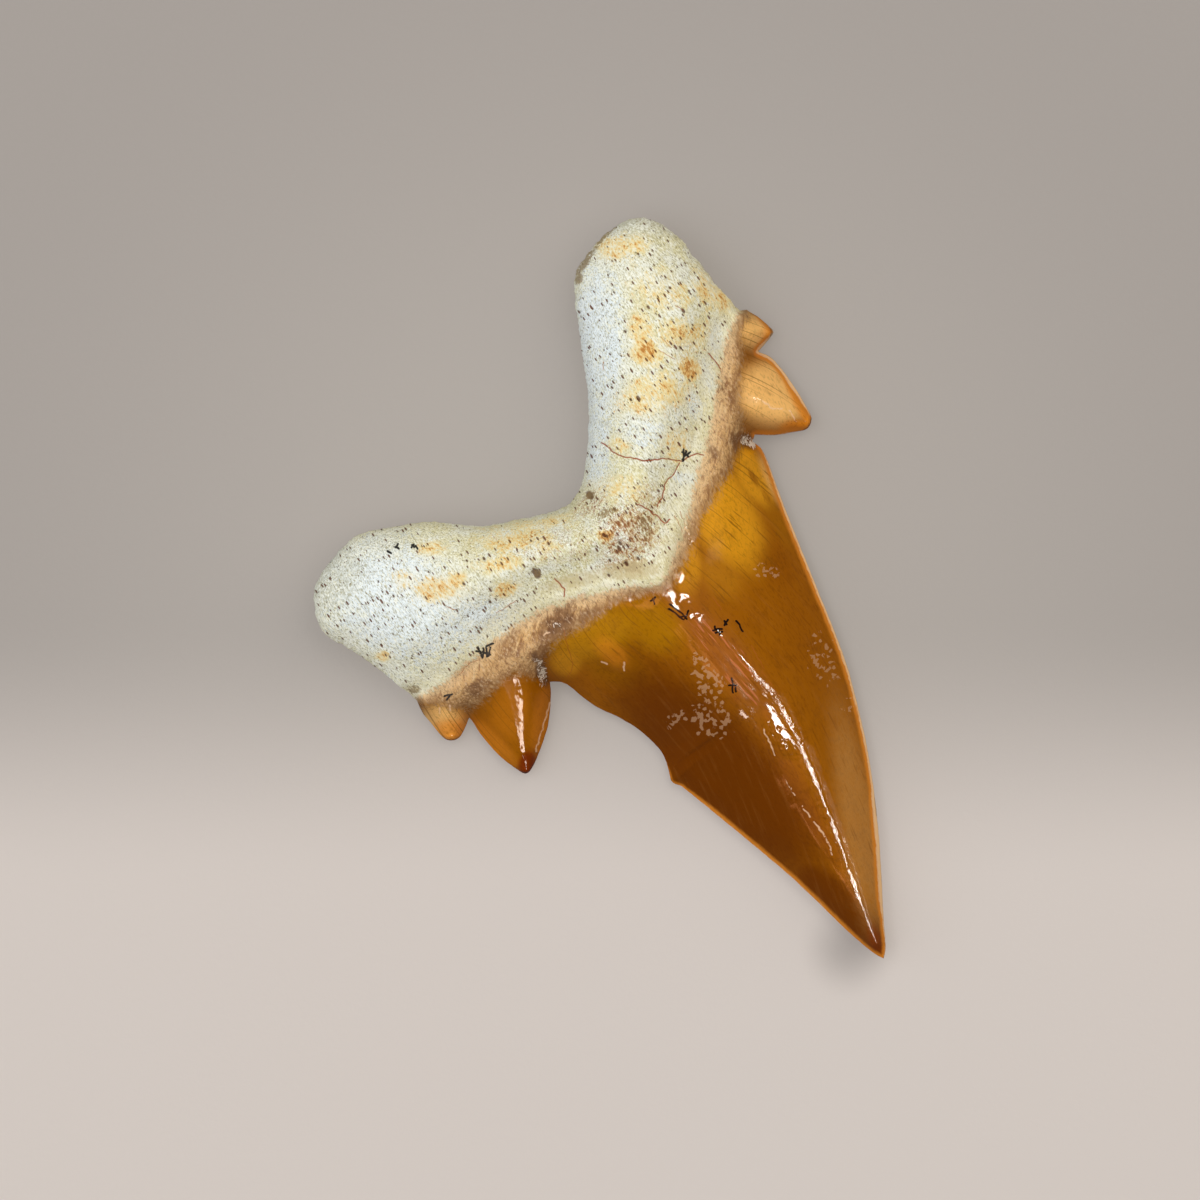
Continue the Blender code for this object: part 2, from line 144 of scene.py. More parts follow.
# The paper. A sheet of matt studio paper lies under the tooth, warm grey, darker at the top of the view
# and paler at the bottom. Half its brightness is a painted glow of its own, as if lit through from below
# on a light table, so the shadows on it are faint, and a soft painted shadow lies on it below the tip. Its
# grain is too fine to show, so it is drawn coarser.
PAPER_WIDTH = 3000.0
PAPER_DARK = "#a39c96"
PAPER_MIDDLE = "#aea7a0"
PAPER_PALE = "#cec5be"
PAPER_SHADE = "#948d88"
PAPER_GRAIN = 0.9
PAPER_GRAIN_DEPTH = 0.2
PAPER_GLOW_SHARE = 0.5  # the share of its brightness that is its own painted glow
MIDDLE_REACH, MIDDLE_FULL = 75.0, 10.0  # how far from the view's middle its tone ends, and is full
BLEND_TOP, BLEND_FOOT = -1.0, -29.0  # where the dark tone ends and the pale one begins
SHADE_PLACE, SHADE_REACH, SHADE_STRENGTH = (25.0, -35.0), 5.5, 0.62  # a soft painted shadow below the tip


def linear(hex_colour):
    """An sRGB hex colour as linear red, green, blue and alpha."""
    channels = [int(hex_colour[n:n + 2], 16) / 255 for n in (1, 3, 5)]
    return tuple(c / 12.92 if c <= 0.04045 else ((c + 0.055) / 1.055) ** 2.4 for c in channels) + (1.0,)


def add(tree, kind, inputs=None, out=None, **settings):
    """Adds a node and gives one of its outputs. Each input is a value, a hex colour or an output."""
    node = tree.nodes.new(kind)
    for name, value in settings.items():
        setattr(node, name, value)
    for name, value in (inputs or {}).items():
        if isinstance(value, bpy.types.NodeSocket):
            tree.links.new(value, node.inputs[name])
        else:
            node.inputs[name].default_value = linear(value) if isinstance(value, str) else value
    return node.outputs[out] if out else next(output for output in node.outputs if output.enabled)


def new_material(name):
    """An empty node material, with its tree and its Principled shader."""
    material = bpy.data.materials.new(name)
    material.use_nodes = True
    return material, material.node_tree, material.node_tree.nodes["Principled BSDF"]


def layered(tree, number, base, layers, kind="RGBA"):
    """Lays colours or plain values over a base, each stronger as a named number goes from low to high."""
    for name, raggedness, low, high, strength, over in layers:
        amount = number[name]
        if raggedness:
            amount = add(tree, "ShaderNodeMath", {
                0: number["ragged"], 1: raggedness, 2: amount,
            }, operation="MULTIPLY_ADD")
        share = add(tree, "ShaderNodeMapRange", {
            "Value": amount, "From Min": low, "From Max": high, "To Max": strength,
        }, interpolation_type="SMOOTHSTEP")
        base = add(tree, "ShaderNodeMix", {"Factor": share, "A": base, "B": over}, data_type=kind)
    return base


paper_material, tree, shader = new_material("matt_studio_paper")
place = add(tree, "ShaderNodeTexCoord", out="Object")
view_place = add(tree, "ShaderNodeMapping", {
    "Vector": place, "Rotation": (0.0, 0.0, -view_angle), "Scale": (1 / MM, 1 / MM, 1 / MM),
    "Location": (*(plan_middle @ view_turn.T), 0.0),
})
number = {
    "up_the_view": add(tree, "ShaderNodeSeparateXYZ", {0: view_place}, out="Y"),
    "from_middle": add(tree, "ShaderNodeVectorMath", {0: view_place}, out="Value", operation="LENGTH"),
    "from_shade": add(tree, "ShaderNodeVectorMath", {
        0: view_place, 1: (*SHADE_PLACE, 0.0),
    }, out="Value", operation="DISTANCE"),
}
tone = layered(tree, number, PAPER_DARK, [
    ("from_middle", 0.0, MIDDLE_REACH, MIDDLE_FULL, 1.0, PAPER_MIDDLE),
    ("up_the_view", 0.0, BLEND_TOP, BLEND_FOOT, 1.0, PAPER_PALE),
    # a painted shadow below the tip
    ("from_shade", 0.0, SHADE_REACH, 0.0, SHADE_STRENGTH, PAPER_SHADE),
])
grain = add(tree, "ShaderNodeTexNoise", {"Vector": view_place, "Scale": 1 / PAPER_GRAIN, "Detail": 3.0})
lit_from_above = add(tree, "ShaderNodeMix", {
    "Factor": PAPER_GLOW_SHARE, "A": tone, "B": "#000000",
}, data_type="RGBA")
bumped = add(tree, "ShaderNodeBump", {
    "Height": grain, "Strength": 0.15, "Distance": PAPER_GRAIN_DEPTH * MM,
})
tree.links.new(lit_from_above, shader.inputs["Base Color"])
# the paper's painted glow, half its brightness
tree.links.new(tone, shader.inputs["Emission Color"])
tree.links.new(bumped, shader.inputs["Normal"])
shader.inputs["Emission Strength"].default_value = PAPER_GLOW_SHARE
shader.inputs["Roughness"].default_value = 0.9
shader.inputs["Specular IOR Level"].default_value = 0.2

paper_mesh = bpy.data.meshes.new("paper")
bm = bmesh.new()
bmesh.ops.create_grid(bm, x_segments=1, y_segments=1, size=PAPER_WIDTH * MM / 2)
bm.to_mesh(paper_mesh)
bm.free()
paper_mesh.materials.append(paper_material)
paper = bpy.data.objects.new("paper", paper_mesh)
bpy.context.scene.collection.objects.link(paper)
paper.visible_glossy = False  # a room with dark walls, and no paper, stands in the gloss


# The studio lights. Wide soft boxes light the tooth from the upper right, from above, from below and,
# cooler, from the left. They give only diffuse light: what shines in the gloss are the smaller boxes. Each
# box has its place in degrees off the camera's axis, to the right and up.
ROOM_COLOUR, ROOM_STRENGTH = "#c9c4c0", 0.09
SOFT_BOXES = [
    # name, degrees right, degrees up, distance, width, share of the light on a level sheet, colour
    ("key_box", 34.0, 24.0, 1100.0, 1300.0, 0.50, "#fff8ee"),
    ("top_box", -8.0, 12.0, 1300.0, 1400.0, 0.43, "#ffffff"),
    ("left_box", -46.0, 4.0, 1100.0, 1100.0, 0.40, "#eff4ff"),
    ("low_box", -22.0, -38.0, 1100.0, 1100.0, 0.12, "#fff8ee"),
]
GLOSS_BOXES = [
    # name, degrees right, degrees up, distance, width, height, radiance, colour
    ("crest_box", 13.0, -21.0, 900.0, 200.0, 200.0, 64.0, "#fff7ee"),
    ("shoulder_box", -17.0, -33.0, 900.0, 90.0, 90.0, 7.0, "#ffa468"),
    ("sheen_box", -5.0, -25.0, 900.0, 260.0, 260.0, 1.3, "#ff8450"),
    ("cusp_box", 8.0, -51.0, 900.0, 120.0, 150.0, 30.0, "#ffeede"),
    ("right_box", 62.0, -4.0, 900.0, 260.0, 260.0, 1.6, "#ffe6cc"),
    ("edge_box", 62.0, -6.0, 900.0, 55.0, 55.0, 26.0, "#ffeede"),
]


def add_box(name, right, up, distance, width, height, power, colour):
    """An area light aimed at the tooth from a direction off the camera's axis."""
    lamp = bpy.data.lights.new(name, "AREA")
    lamp.shape = "RECTANGLE"
    lamp.size, lamp.size_y = width * MM, height * MM
    lamp.energy = power
    lamp.color = linear(colour)[:3]
    light = bpy.data.objects.new(name, lamp)
    light.visible_camera = False
    bpy.context.scene.collection.objects.link(light)
    off_axis, bearing = math.radians(math.hypot(right, up)), math.atan2(up, right)
    reach = distance * math.sin(off_axis)
    light.location = view_to_frame(
        reach * math.cos(bearing), reach * math.sin(bearing), distance * math.cos(off_axis)
    )
    light.rotation_mode = "QUATERNION"
    light.rotation_quaternion = (view_to_frame(0.0, 0.0, 0.0) - light.location).to_track_quat("-Z", "Y")
    return light


for name, right, up, distance, width, share, colour in SOFT_BOXES:
    falling = math.cos(math.radians(math.hypot(right, up)))
    power = share * (math.pi * distance * MM) ** 2 / falling
    add_box(name, right, up, distance, width, width, power, colour).visible_glossy = False
for name, right, up, distance, width, height, radiance, colour in GLOSS_BOXES:
    power = radiance * math.pi * width * height * MM**2
    add_box(name, right, up, distance, width, height, power, colour).visible_diffuse = False

world = bpy.data.worlds.new("room")
bpy.context.scene.world = world
world.use_nodes = True
world.node_tree.nodes["Background"].inputs["Color"].default_value = linear(ROOM_COLOUR)
world.node_tree.nodes["Background"].inputs["Strength"].default_value = ROOM_STRENGTH


# The tooth. Enamel crown and bone root grew as one piece, so it is one mesh: a finely divided copy of the
# solid, laid on the smooth form that the solid facets. The form is a height over the plan for each face:
# ridges, with slopes down to the outline, and a full round root behind a chevron-shaped neck.
NECK_LINE = [
    (14.0, 28.8), (12.8, 26.5), (12.0, 23.0), (11.1, 18.5), (10.4, 15.0), (9.4, 11.5), (8.5, 8.0),
    (7.7, 5.2), (6.5, 2.5), (5.0, 1.5), (2.5, 1.2), (0.0, 0.8), (-3.0, 0.0), (-6.0, -1.2), (-9.0, -2.8),
    (-11.2, -4.5), (-13.5, -6.5), (-15.5, -8.2), (-17.0, -9.1), (-18.4, -9.9),
]
OUTER_NECK_LINE = [
    (14.0, 28.8), (11.6, 24.5), (9.6, 20.0), (7.4, 14.5), (5.0, 9.5), (2.4, 6.2), (-1.0, 4.4),
    (-5.5, 2.2), (-10.5, -1.4), (-14.5, -5.8), (-18.4, -9.9),
]
BEHIND_THE_NECK = [(-20.0, -12.0), (-40.0, -30.0), (-45.0, 55.0), (30.0, 55.0), (15.4, 30.6)]
CREST = [
    (6.6, 2.0, 11.6), (10.0, -1.0, 11.3), (13.2, -4.6, 10.9), (15.7, -7.5, 10.25), (17.7, -10.0, 9.4),
    (20.0, -14.5, 8.1), (22.2, -19.8, 6.75), (24.0, -24.5, 5.6), (26.0, -30.0, 4.1), (27.6, -34.2, 2.9),
]
SHOULDER = [
    (6.0, 1.4), (8.6, -2.3), (11.6, -6.2), (14.4, -10.0), (16.5, -13.5), (18.9, -18.2), (21.2, -22.8),
    (23.4, -26.2), (25.7, -30.2), (27.6, -34.2),
]
RIDGES = [
    [
        (6.6, 2.0, 11.5), (9.0, 7.0, 10.6), (11.0, 13.5, 8.8), (12.6, 19.0, 7.6), (13.4, 25.0, 6.0),
        (13.9, 28.0, 5.4),
    ],
    [
        (6.0, 1.4, 11.5), (0.0, -0.5, 10.6), (-4.5, -2.9, 9.2), (-9.5, -5.6, 7.8), (-14.0, -8.2, 6.2),
        (-17.3, -10.0, 5.4),
    ],
    [(12.2, 18.8, 7.8), (15.5, 19.2, 5.8), (18.5, 18.4, 3.8), (20.6, 17.8, 2.4)],
    [(13.2, 26.0, 6.0), (15.2, 26.8, 4.2), (16.9, 26.8, 2.4)],
    [(-9.0, -5.4, 7.9), (-8.1, -8.6, 6.4), (-7.8, -12.4, 4.4), (-7.4, -16.8, 2.3)],
    [(-15.2, -8.8, 5.9), (-15.0, -11.0, 4.6), (-14.9, -13.4, 2.6)],
]
ROOT_RIDGE = [
    (-25.6, 1.0, 8.6), (-19.0, 1.3, 10.0), (-10.0, 2.9, 11.4), (-2.0, 5.0, 12.8), (3.2, 8.0, 13.2),
    (4.6, 14.0, 12.4), (5.2, 22.0, 11.2), (4.4, 29.0, 10.2), (3.4, 34.6, 8.8),
]
# Heights and widths of the form in mm.
CUTTING_EDGE_Z = 1.3
ROOT_EDGE_Z = 4.6
NOTCHES = [(15.3, 15.9), (-4.5, -8.2)]
NOTCH_REACH, NOTCH_RISE = 3.5, 1.2
EDGE_CLIMB_START, EDGE_CLIMB = 1.6, 4.0
TIP_LIFT, TIP_LIFT_START = 1.2, (17.7, -10.0)
BAND_FALL, BAND_WIDTH = 0.16, 3.0
BLADE_FULLNESS, CUSP_FULLNESS = 0.5, 0.75
VALLEY_ROUNDING, VALLEY_REACH = 0.35, 2.0
CREST_ROUNDING, SHOULDER_ROUNDING, RIDGE_ROUNDING = 0.85, 1.4, 0.6
TIP_SHARPENING = 9.0
ROOT_ROUNDING, ROOT_CROWNING, RIM_RISE = 5.6, 0.022, 5.5
NECK_STEP, NECK_STEP_HEIGHT = 1.7, 0.65
OUTER_ROUNDING, OUTER_BLEND, OUTER_BEVEL = 4.6, 1.5, 6.5
OUTER_HOLLOW = [
    # x, y, radius, depth
    (1.5, 9.5, 5.5, 0.8), (8.0, 17.0, 3.4, 0.35), (-8.0, 1.0, 3.4, 0.35),
]
CURVE_STEP = 0.02  # the curves are followed this closely, so that the gloss shows no facets
AREA_STEP = 0.3  # and the edges of areas this closely


def ease(share):
    """0 below 0, 1 above 1, and a smooth step between."""
    share = np.clip(share, 0.0, 1.0)
    return share * share * (3.0 - 2.0 * share)


def quarter_round(share):
    """The height of a quarter of an ellipse, from 0 at its edge to 1."""
    return np.sqrt(1.0 - (1.0 - np.clip(share, 0.0, 1.0)) ** 2)


def convex(share, fullness):
    """A slope from edge to ridge: straight at fullness 0 and round at 1."""
    return (1.0 - fullness) * share + fullness * np.sin(share * math.pi / 2)


def nearest_on(curve, points):
    """For each point, its distance to a finely stepped curve and the number of the nearest step."""
    tree_of_steps = kdtree.KDTree(len(curve))
    for number, step in enumerate(curve):
        tree_of_steps.insert((step[0], step[1], 0.0), number)
    tree_of_steps.balance()
    found = [tree_of_steps.find((x, y, 0.0)) for x, y in points]
    return np.array([f[2] for f in found]), np.array([f[1] for f in found])


def side_of(curve, points, nearest):
    """1 on the left of a curve, as it runs, and -1 on its right."""
    forward = np.gradient(curve[:, :2], axis=0)[nearest]
    offset = points - curve[nearest, :2]
    return np.where(forward[:, 0] * offset[:, 1] - forward[:, 1] * offset[:, 0] > 0, 1.0, -1.0)


def inside(polygon, points):
    """True for each point that lies inside a closed polygon."""
    x, y = points[:, 0], points[:, 1]
    found = np.zeros(len(points), bool)
    for (x0, y0), (x1, y1) in zip(polygon, np.roll(polygon, -1, axis=0)):
        if y0 == y1:
            continue
        crosses = (y0 > y) != (y1 > y)
        found ^= crosses & (x < x0 + (y - y0) * (x1 - x0) / (y1 - y0))
    return found


def past_line(line, points):
    """How far each point is past a neck line: positive on the root's side, and negative on the crown's."""
    root = np.vstack([smooth_curve(line, AREA_STEP), BEHIND_THE_NECK])
    away, _ = nearest_on(smooth_curve(line, CURVE_STEP), points)
    return np.where(inside(root, points), away, -away)


def edge_height(points, past_neck):
    """The height of the widest line: low along the cutting edges, and half way up the root."""
    low = np.full(len(points), CUTTING_EDGE_Z)
    for notch in NOTCHES:
        low += NOTCH_RISE * ease(1.0 - np.linalg.norm(points - notch, axis=1) / NOTCH_REACH)
    return low + (ROOT_EDGE_Z - low) * ease((past_neck + EDGE_CLIMB_START) / EDGE_CLIMB)


def tip_lift(points):
    """How far the end of the blade curves up, from nothing half way along it."""
    along = np.subtract(TIP, TIP_LIFT_START)
    return TIP_LIFT * np.clip((points - TIP_LIFT_START) @ along / (along @ along), 0.0, 1.0) ** 2


def inner_height(points, from_edge, past_neck):
    """The inner face above each point of the plan, in millimetres."""
    edge = edge_height(points, past_neck)
    crest, shoulder = smooth_curve(CREST, CURVE_STEP), smooth_curve(SHOULDER, CURVE_STEP)
    to_crest, nearest = nearest_on(crest, points)
    to_shoulder, _ = nearest_on(shoulder, points)
    band = np.vstack([smooth_curve(CREST, AREA_STEP)[:, :2], smooth_curve(SHOULDER, AREA_STEP)[::-1]])
    away = np.where(inside(band, points), 0.0, np.minimum(to_crest, to_shoulder))
    rounding = np.where(to_crest < to_shoulder, CREST_ROUNDING, SHOULDER_ROUNDING)
    rounding = rounding * ease(np.linalg.norm(points - TIP, axis=1) / TIP_SHARPENING) + 1e-6
    away = np.hypot(away, rounding) - rounding
    share = from_edge / (from_edge + away + 1e-6)
    top = crest[nearest, 2] - BAND_FALL * np.minimum(to_crest, BAND_WIDTH)
    fields = [edge + (top - edge) * convex(share, BLADE_FULLNESS)]
    for ridge in RIDGES:
        curve = smooth_curve(ridge, CURVE_STEP)
        away, nearest = nearest_on(curve, points)
        away = np.hypot(away, RIDGE_ROUNDING) - RIDGE_ROUNDING
        share = from_edge / (from_edge + away + 1e-6)
        fields.append(edge + (curve[nearest, 2] - edge) * convex(share, CUSP_FULLNESS))
    softness = np.maximum(VALLEY_ROUNDING * ease(from_edge / VALLEY_REACH), 1e-3)
    highest = np.max(fields, axis=0)
    crown = highest + softness * np.log(sum(np.exp((field - highest) / softness) for field in fields))
    back_ridge = smooth_curve(ROOT_RIDGE, CURVE_STEP)
    away, nearest = nearest_on(back_ridge, points)
    back = back_ridge[nearest, 2] - ROOT_CROWNING * away**2
    root = edge + (back - edge) * quarter_round(from_edge / ROOT_ROUNDING)
    rim = crown + NECK_STEP_HEIGHT * ease(past_neck / NECK_STEP + 0.5)
    return rim + (root - rim) * ease(past_neck / RIM_RISE) + tip_lift(points)


def outer_height(points, from_edge, past_neck):
    """The outer face below each point: level in the middle, and rising to the outline."""
    bone = ease((past_neck / OUTER_BLEND + 1.0) / 2.0)
    sharp = (1.0 - np.clip(from_edge / OUTER_BEVEL, 0.0, 1.0)) ** 2
    round_under = 1.0 - quarter_round(from_edge / OUTER_ROUNDING)
    height = edge_height(points, past_neck) * (sharp + (round_under - sharp) * bone)
    for x, y, radius, depth in OUTER_HOLLOW:
        height += depth * ease(1.0 - np.linalg.norm(points - (x, y), axis=1) / radius)
    return height + tip_lift(points)


# Marks on the inner face, as strokes between places in view millimetres. The cracks are hairlines in the
# bone and the neck, the hairs finer ones in bone and enamel, and the ink strokes small fern-like growths
# of black manganese. The highlight strokes are painted highlights: pale lines where the ridges of the
# cusps and the shoulder catch the light.
CRACKS = [
    [
        (0.1, 15.6), (0.9, 15.1), (1.9, 14.3), (3.0, 14.1), (4.6, 13.8), (6.2, 14.0), (8.1, 13.8),
        (8.7, 14.2), (9.5, 14.5), (10.3, 14.4),
    ],
    [(7.9, 13.6), (7.3, 12.5), (6.5, 11.6), (6.2, 10.4), (5.7, 9.2)],
    [(-4.5, 2.1), (-3.5, 1.0), (-3.6, 0.3)],
    [(10.8, 24.5), (11.4, 23.9), (12.0, 23.0)],
    [(3.7, 9.5), (4.6, 9.0), (5.5, 8.4), (6.4, 7.7), (6.9, 8.0)],
]
HAIRS = [
    [(6.0, 26.1), (7.1, 25.0)], [(5.8, 24.8), (7.4, 23.9)], [(7.5, 29.3), (8.2, 28.8)],
    [(0.4, 23.7), (0.3, 22.9)], [(-15.2, -0.7), (-14.3, -1.0)], [(-10.8, 6.5), (-10.3, 6.0)],
    [(-14.0, -7.4), (-13.2, -6.5), (-12.1, -6.0)], [(7.9, 8.8), (8.3, 7.8), (8.3, 7.1)],
    [(-7.8, 6.0), (-7.2, 5.5)], [(-10.2, -1.2), (-8.4, -0.1)],
    [(-3.6, -2.9), (-3.3, -4.4), (-2.9, -5.6), (-2.7, -6.6), (-3.2, -7.7)], [(11.1, 0.3), (12.1, -0.9)],
    [(15.0, -4.5), (16.3, -6.8)], [(16.1, -7.0), (17.8, -9.6)], [(19.7, -13.4), (20.5, -15.0)],
    [(7.4, 8.4), (8.4, 6.4)],
]
# Painted highlights: pale lines where the ridges of the cusps and the shoulder catch the light.
PAINTED_HIGHLIGHT_STROKES = [
    [(-5.05, -10.3), (-5.4, -11.7), (-5.9, -13.3), (-6.4, -15.2)], [(0.1, -6.1), (0.7, -6.4)],
    [(2.4, -6.2), (2.4, -7.0)], [(-5.6, -3.5), (-5.0, -3.2)], [(-10.4, -15.6), (-9.8, -16.1)],
    [(-16.0, -10.8), (-16.0, -11.3)], [(-15.0, -10.5), (-14.9, -11.0)],
    [(16.2, -12.9), (16.9, -14.2), (17.4, -15.4)], [(18.4, -17.9), (18.9, -18.7), (19.4, -19.4)],
    [(20.1, -20.5), (20.9, -21.6)], [(21.3, -22.1), (22.4, -23.6), (23.2, -25.4)],
    [(16.2, 19.8), (17.2, 19.2), (18.2, 19.1)], [(18.9, 19.0), (19.3, 18.3), (19.6, 17.8)],
]
INK_STROKES = [
    [(-12.3, -5.1), (-10.9, -5.4)], [(-12.1, -4.7), (-11.8, -5.6)], [(-11.6, -4.8), (-11.7, -5.7)],
    [(-11.3, -4.6), (-11.2, -5.7)], [(-10.9, -4.7), (-11.1, -5.6)], [(-11.3, -4.6), (-10.6, -4.3)],
    [(-15.5, -9.6), (-14.7, -9.4)], [(-15.3, -9.9), (-15.0, -9.6)],
    [(6.9, -0.4), (7.7, -1.0), (8.6, -1.9)], [(6.7, -0.8), (7.5, -1.3), (8.3, -1.9)],
    [(8.8, -1.1), (8.4, -1.8)], [(8.0, -1.7), (8.5, -1.6)],
    [(11.4, -2.6), (11.9, -3.5)], [(11.2, -3.0), (12.1, -2.8)], [(11.4, -3.3), (12.1, -3.2)],
    [(12.3, -2.5), (12.7, -2.0)], [(12.3, -2.0), (12.6, -2.4)], [(13.5, -2.1), (14.2, -3.1)],
    [(13.1, -7.7), (13.2, -9.2)], [(12.8, -8.4), (13.5, -8.5)], [(13.4, -8.7), (13.5, -9.1)],
    [(5.0, -0.1), (5.5, 0.2)], [(5.2, 0.1), (5.3, -0.4)],
    [(8.1, 14.7), (8.8, 14.3)], [(8.3, 15.0), (8.3, 13.8)], [(8.6, 14.8), (8.2, 14.0)],
    [(8.9, 14.7), (8.4, 14.3)],
    [(-20.3, 5.3), (-20.0, 5.1)], [(-20.1, 5.6), (-20.2, 5.2)], [(-18.7, 5.5), (-18.4, 5.2)],
    [(-18.5, 5.6), (-18.7, 5.2)], [(-18.2, 5.4), (-18.1, 5.1)], [(-21.1, 4.9), (-20.8, 4.7)],
]
LINE_STEP = 0.03
STROKE_WAVER, WAVER_LENGTH = 0.13, 0.5
FINE_REACHES = [0.16, 0.085]  # the mesh is divided once more at each of these distances from the strokes
FAR = 9.0  # further than any mark reaches

# Open pores in the bone, drawn out along its canals. The fibres of the neck run another way.
CANAL_DIRECTION = (0.57, -0.82)
CANAL_STRETCH = 1.7
PIT_RIGHT, PIT_DOWN = 0.1, 0.14  # half the stroke along which the mesh is fine at a pore
FIBRE_DIRECTION = (0.2, 0.98)
PITS = [
    # x, y, radius, depth
    (2.5, 26.65, 0.16, 0.35), (8.27, 28.7, 0.22, 0.3), (8.9, 34.7, 0.1, 0.2), (3.8, 34.4, 0.12, 0.25),
    (0.8, 32.3, 0.1, 0.25), (1.4, 30.55, 0.11, 0.25), (4.8, 29.05, 0.18, 0.2), (1.2, 21.1, 0.12, 0.3),
    (3.05, 19.85, 0.14, 0.35), (3.8, 20.0, 0.26, 0.15), (8.0, 25.0, 0.14, 0.25), (6.95, 31.0, 0.14, 0.25),
    (8.85, 30.7, 0.12, 0.25), (1.0, 24.4, 0.11, 0.25), (-2.2, 28.7, 0.16, 0.3), (-11.5, 4.1, 0.17, 0.35),
    (-6.85, 5.9, 0.12, 0.25), (-5.1, 5.6, 0.15, 0.3), (-6.3, 2.65, 0.5, 0.25), (-13.5, 1.6, 0.15, 0.35),
    (-17.0, 2.8, 0.11, 0.25), (-17.8, -1.0, 0.12, 0.3), (-10.9, -0.2, 0.15, 0.25),
    (-20.5, 0.4, 0.14, 0.25), (-22.0, 1.85, 0.1, 0.25), (-1.0, 10.4, 0.42, 0.35), (1.4, 9.0, 0.15, 0.25),
    (0.7, 6.3, 0.15, 0.3), (2.0, 5.6, 0.2, 0.25), (1.0, 3.9, 0.16, 0.25), (3.8, 4.1, 0.18, 0.25),
    (5.8, 10.8, 0.15, 0.25), (0.4, 6.4, 0.22, 0.3), (1.9, 5.1, 0.26, 0.2), (2.6, 3.6, 0.24, 0.2),
    (0.9, 2.4, 0.2, 0.2), (-13.1, -1.6, 0.12, 0.25), (-15.3, -2.4, 0.11, 0.25), (-16.2, -2.5, 0.12, 0.25),
    (-9.4, -3.0, 0.1, 0.2), (-11.2, -3.6, 0.11, 0.2), (-18.7, -5.8, 0.1, 0.2), (-21.3, -5.5, 0.12, 0.2),
    (-13.2, 3.9, 0.12, 0.3),
]

# Small swellings in the enamel that catch the light, and polished flats, each with a slope of its own:
# worn spots on the crest that face the lamp, one that is turned away from it, and the ridge of a cusp.
SWELLINGS = [
    # x, y, half-length, half-width, turn, height
    (1.0, -5.4, 1.7, 1.2, -35.0, 0.2), (-0.1, -6.0, 1.0, 0.3, -40.0, 0.05),
    (18.3, -12.7, 1.9, 0.6, -62.0, 0.05),
]
FLATS = {
    # slope to the right, slope up: places as x, y, half-length, half-width, turn, rise
    (-0.03, 0.05): [(8.9, -0.7, 1.6, 1.0, -42.0, -0.04)],
    (-0.113, 0.183): [
        (8.0, 2.2, 1.3, 0.9, -80.0, 0.07), (7.1, 0.5, 0.7, 0.3, -60.0, 0.04),
        (8.8, 6.4, 1.4, 0.3, -75.0, 0.03), (2.6, 0.15, 1.2, 0.3, -12.0, 0.03),
        (11.9, -3.3, 0.9, 0.2, -55.0, 0.02), (18.2, -12.5, 3.0, 1.4, -60.0, 0.03),
        (17.0, -9.0, 1.8, 0.45, -56.0, 0.01), (18.7, -11.9, 3.0, 0.5, -60.0, 0.01),
        (21.0, -16.9, 3.4, 0.5, -66.0, 0.01), (23.0, -21.9, 3.2, 0.42, -68.0, 0.01),
        (24.9, -27.0, 3.2, 0.36, -70.0, 0.01),
    ],
    (-0.07, 0.477): [
        (-8.3, -7.9, 1.3, 0.45, -78.0, 0.02), (-7.9, -11.0, 2.4, 0.4, -84.0, 0.02),
        (-7.6, -14.6, 1.6, 0.3, -84.0, 0.02),
    ],
}
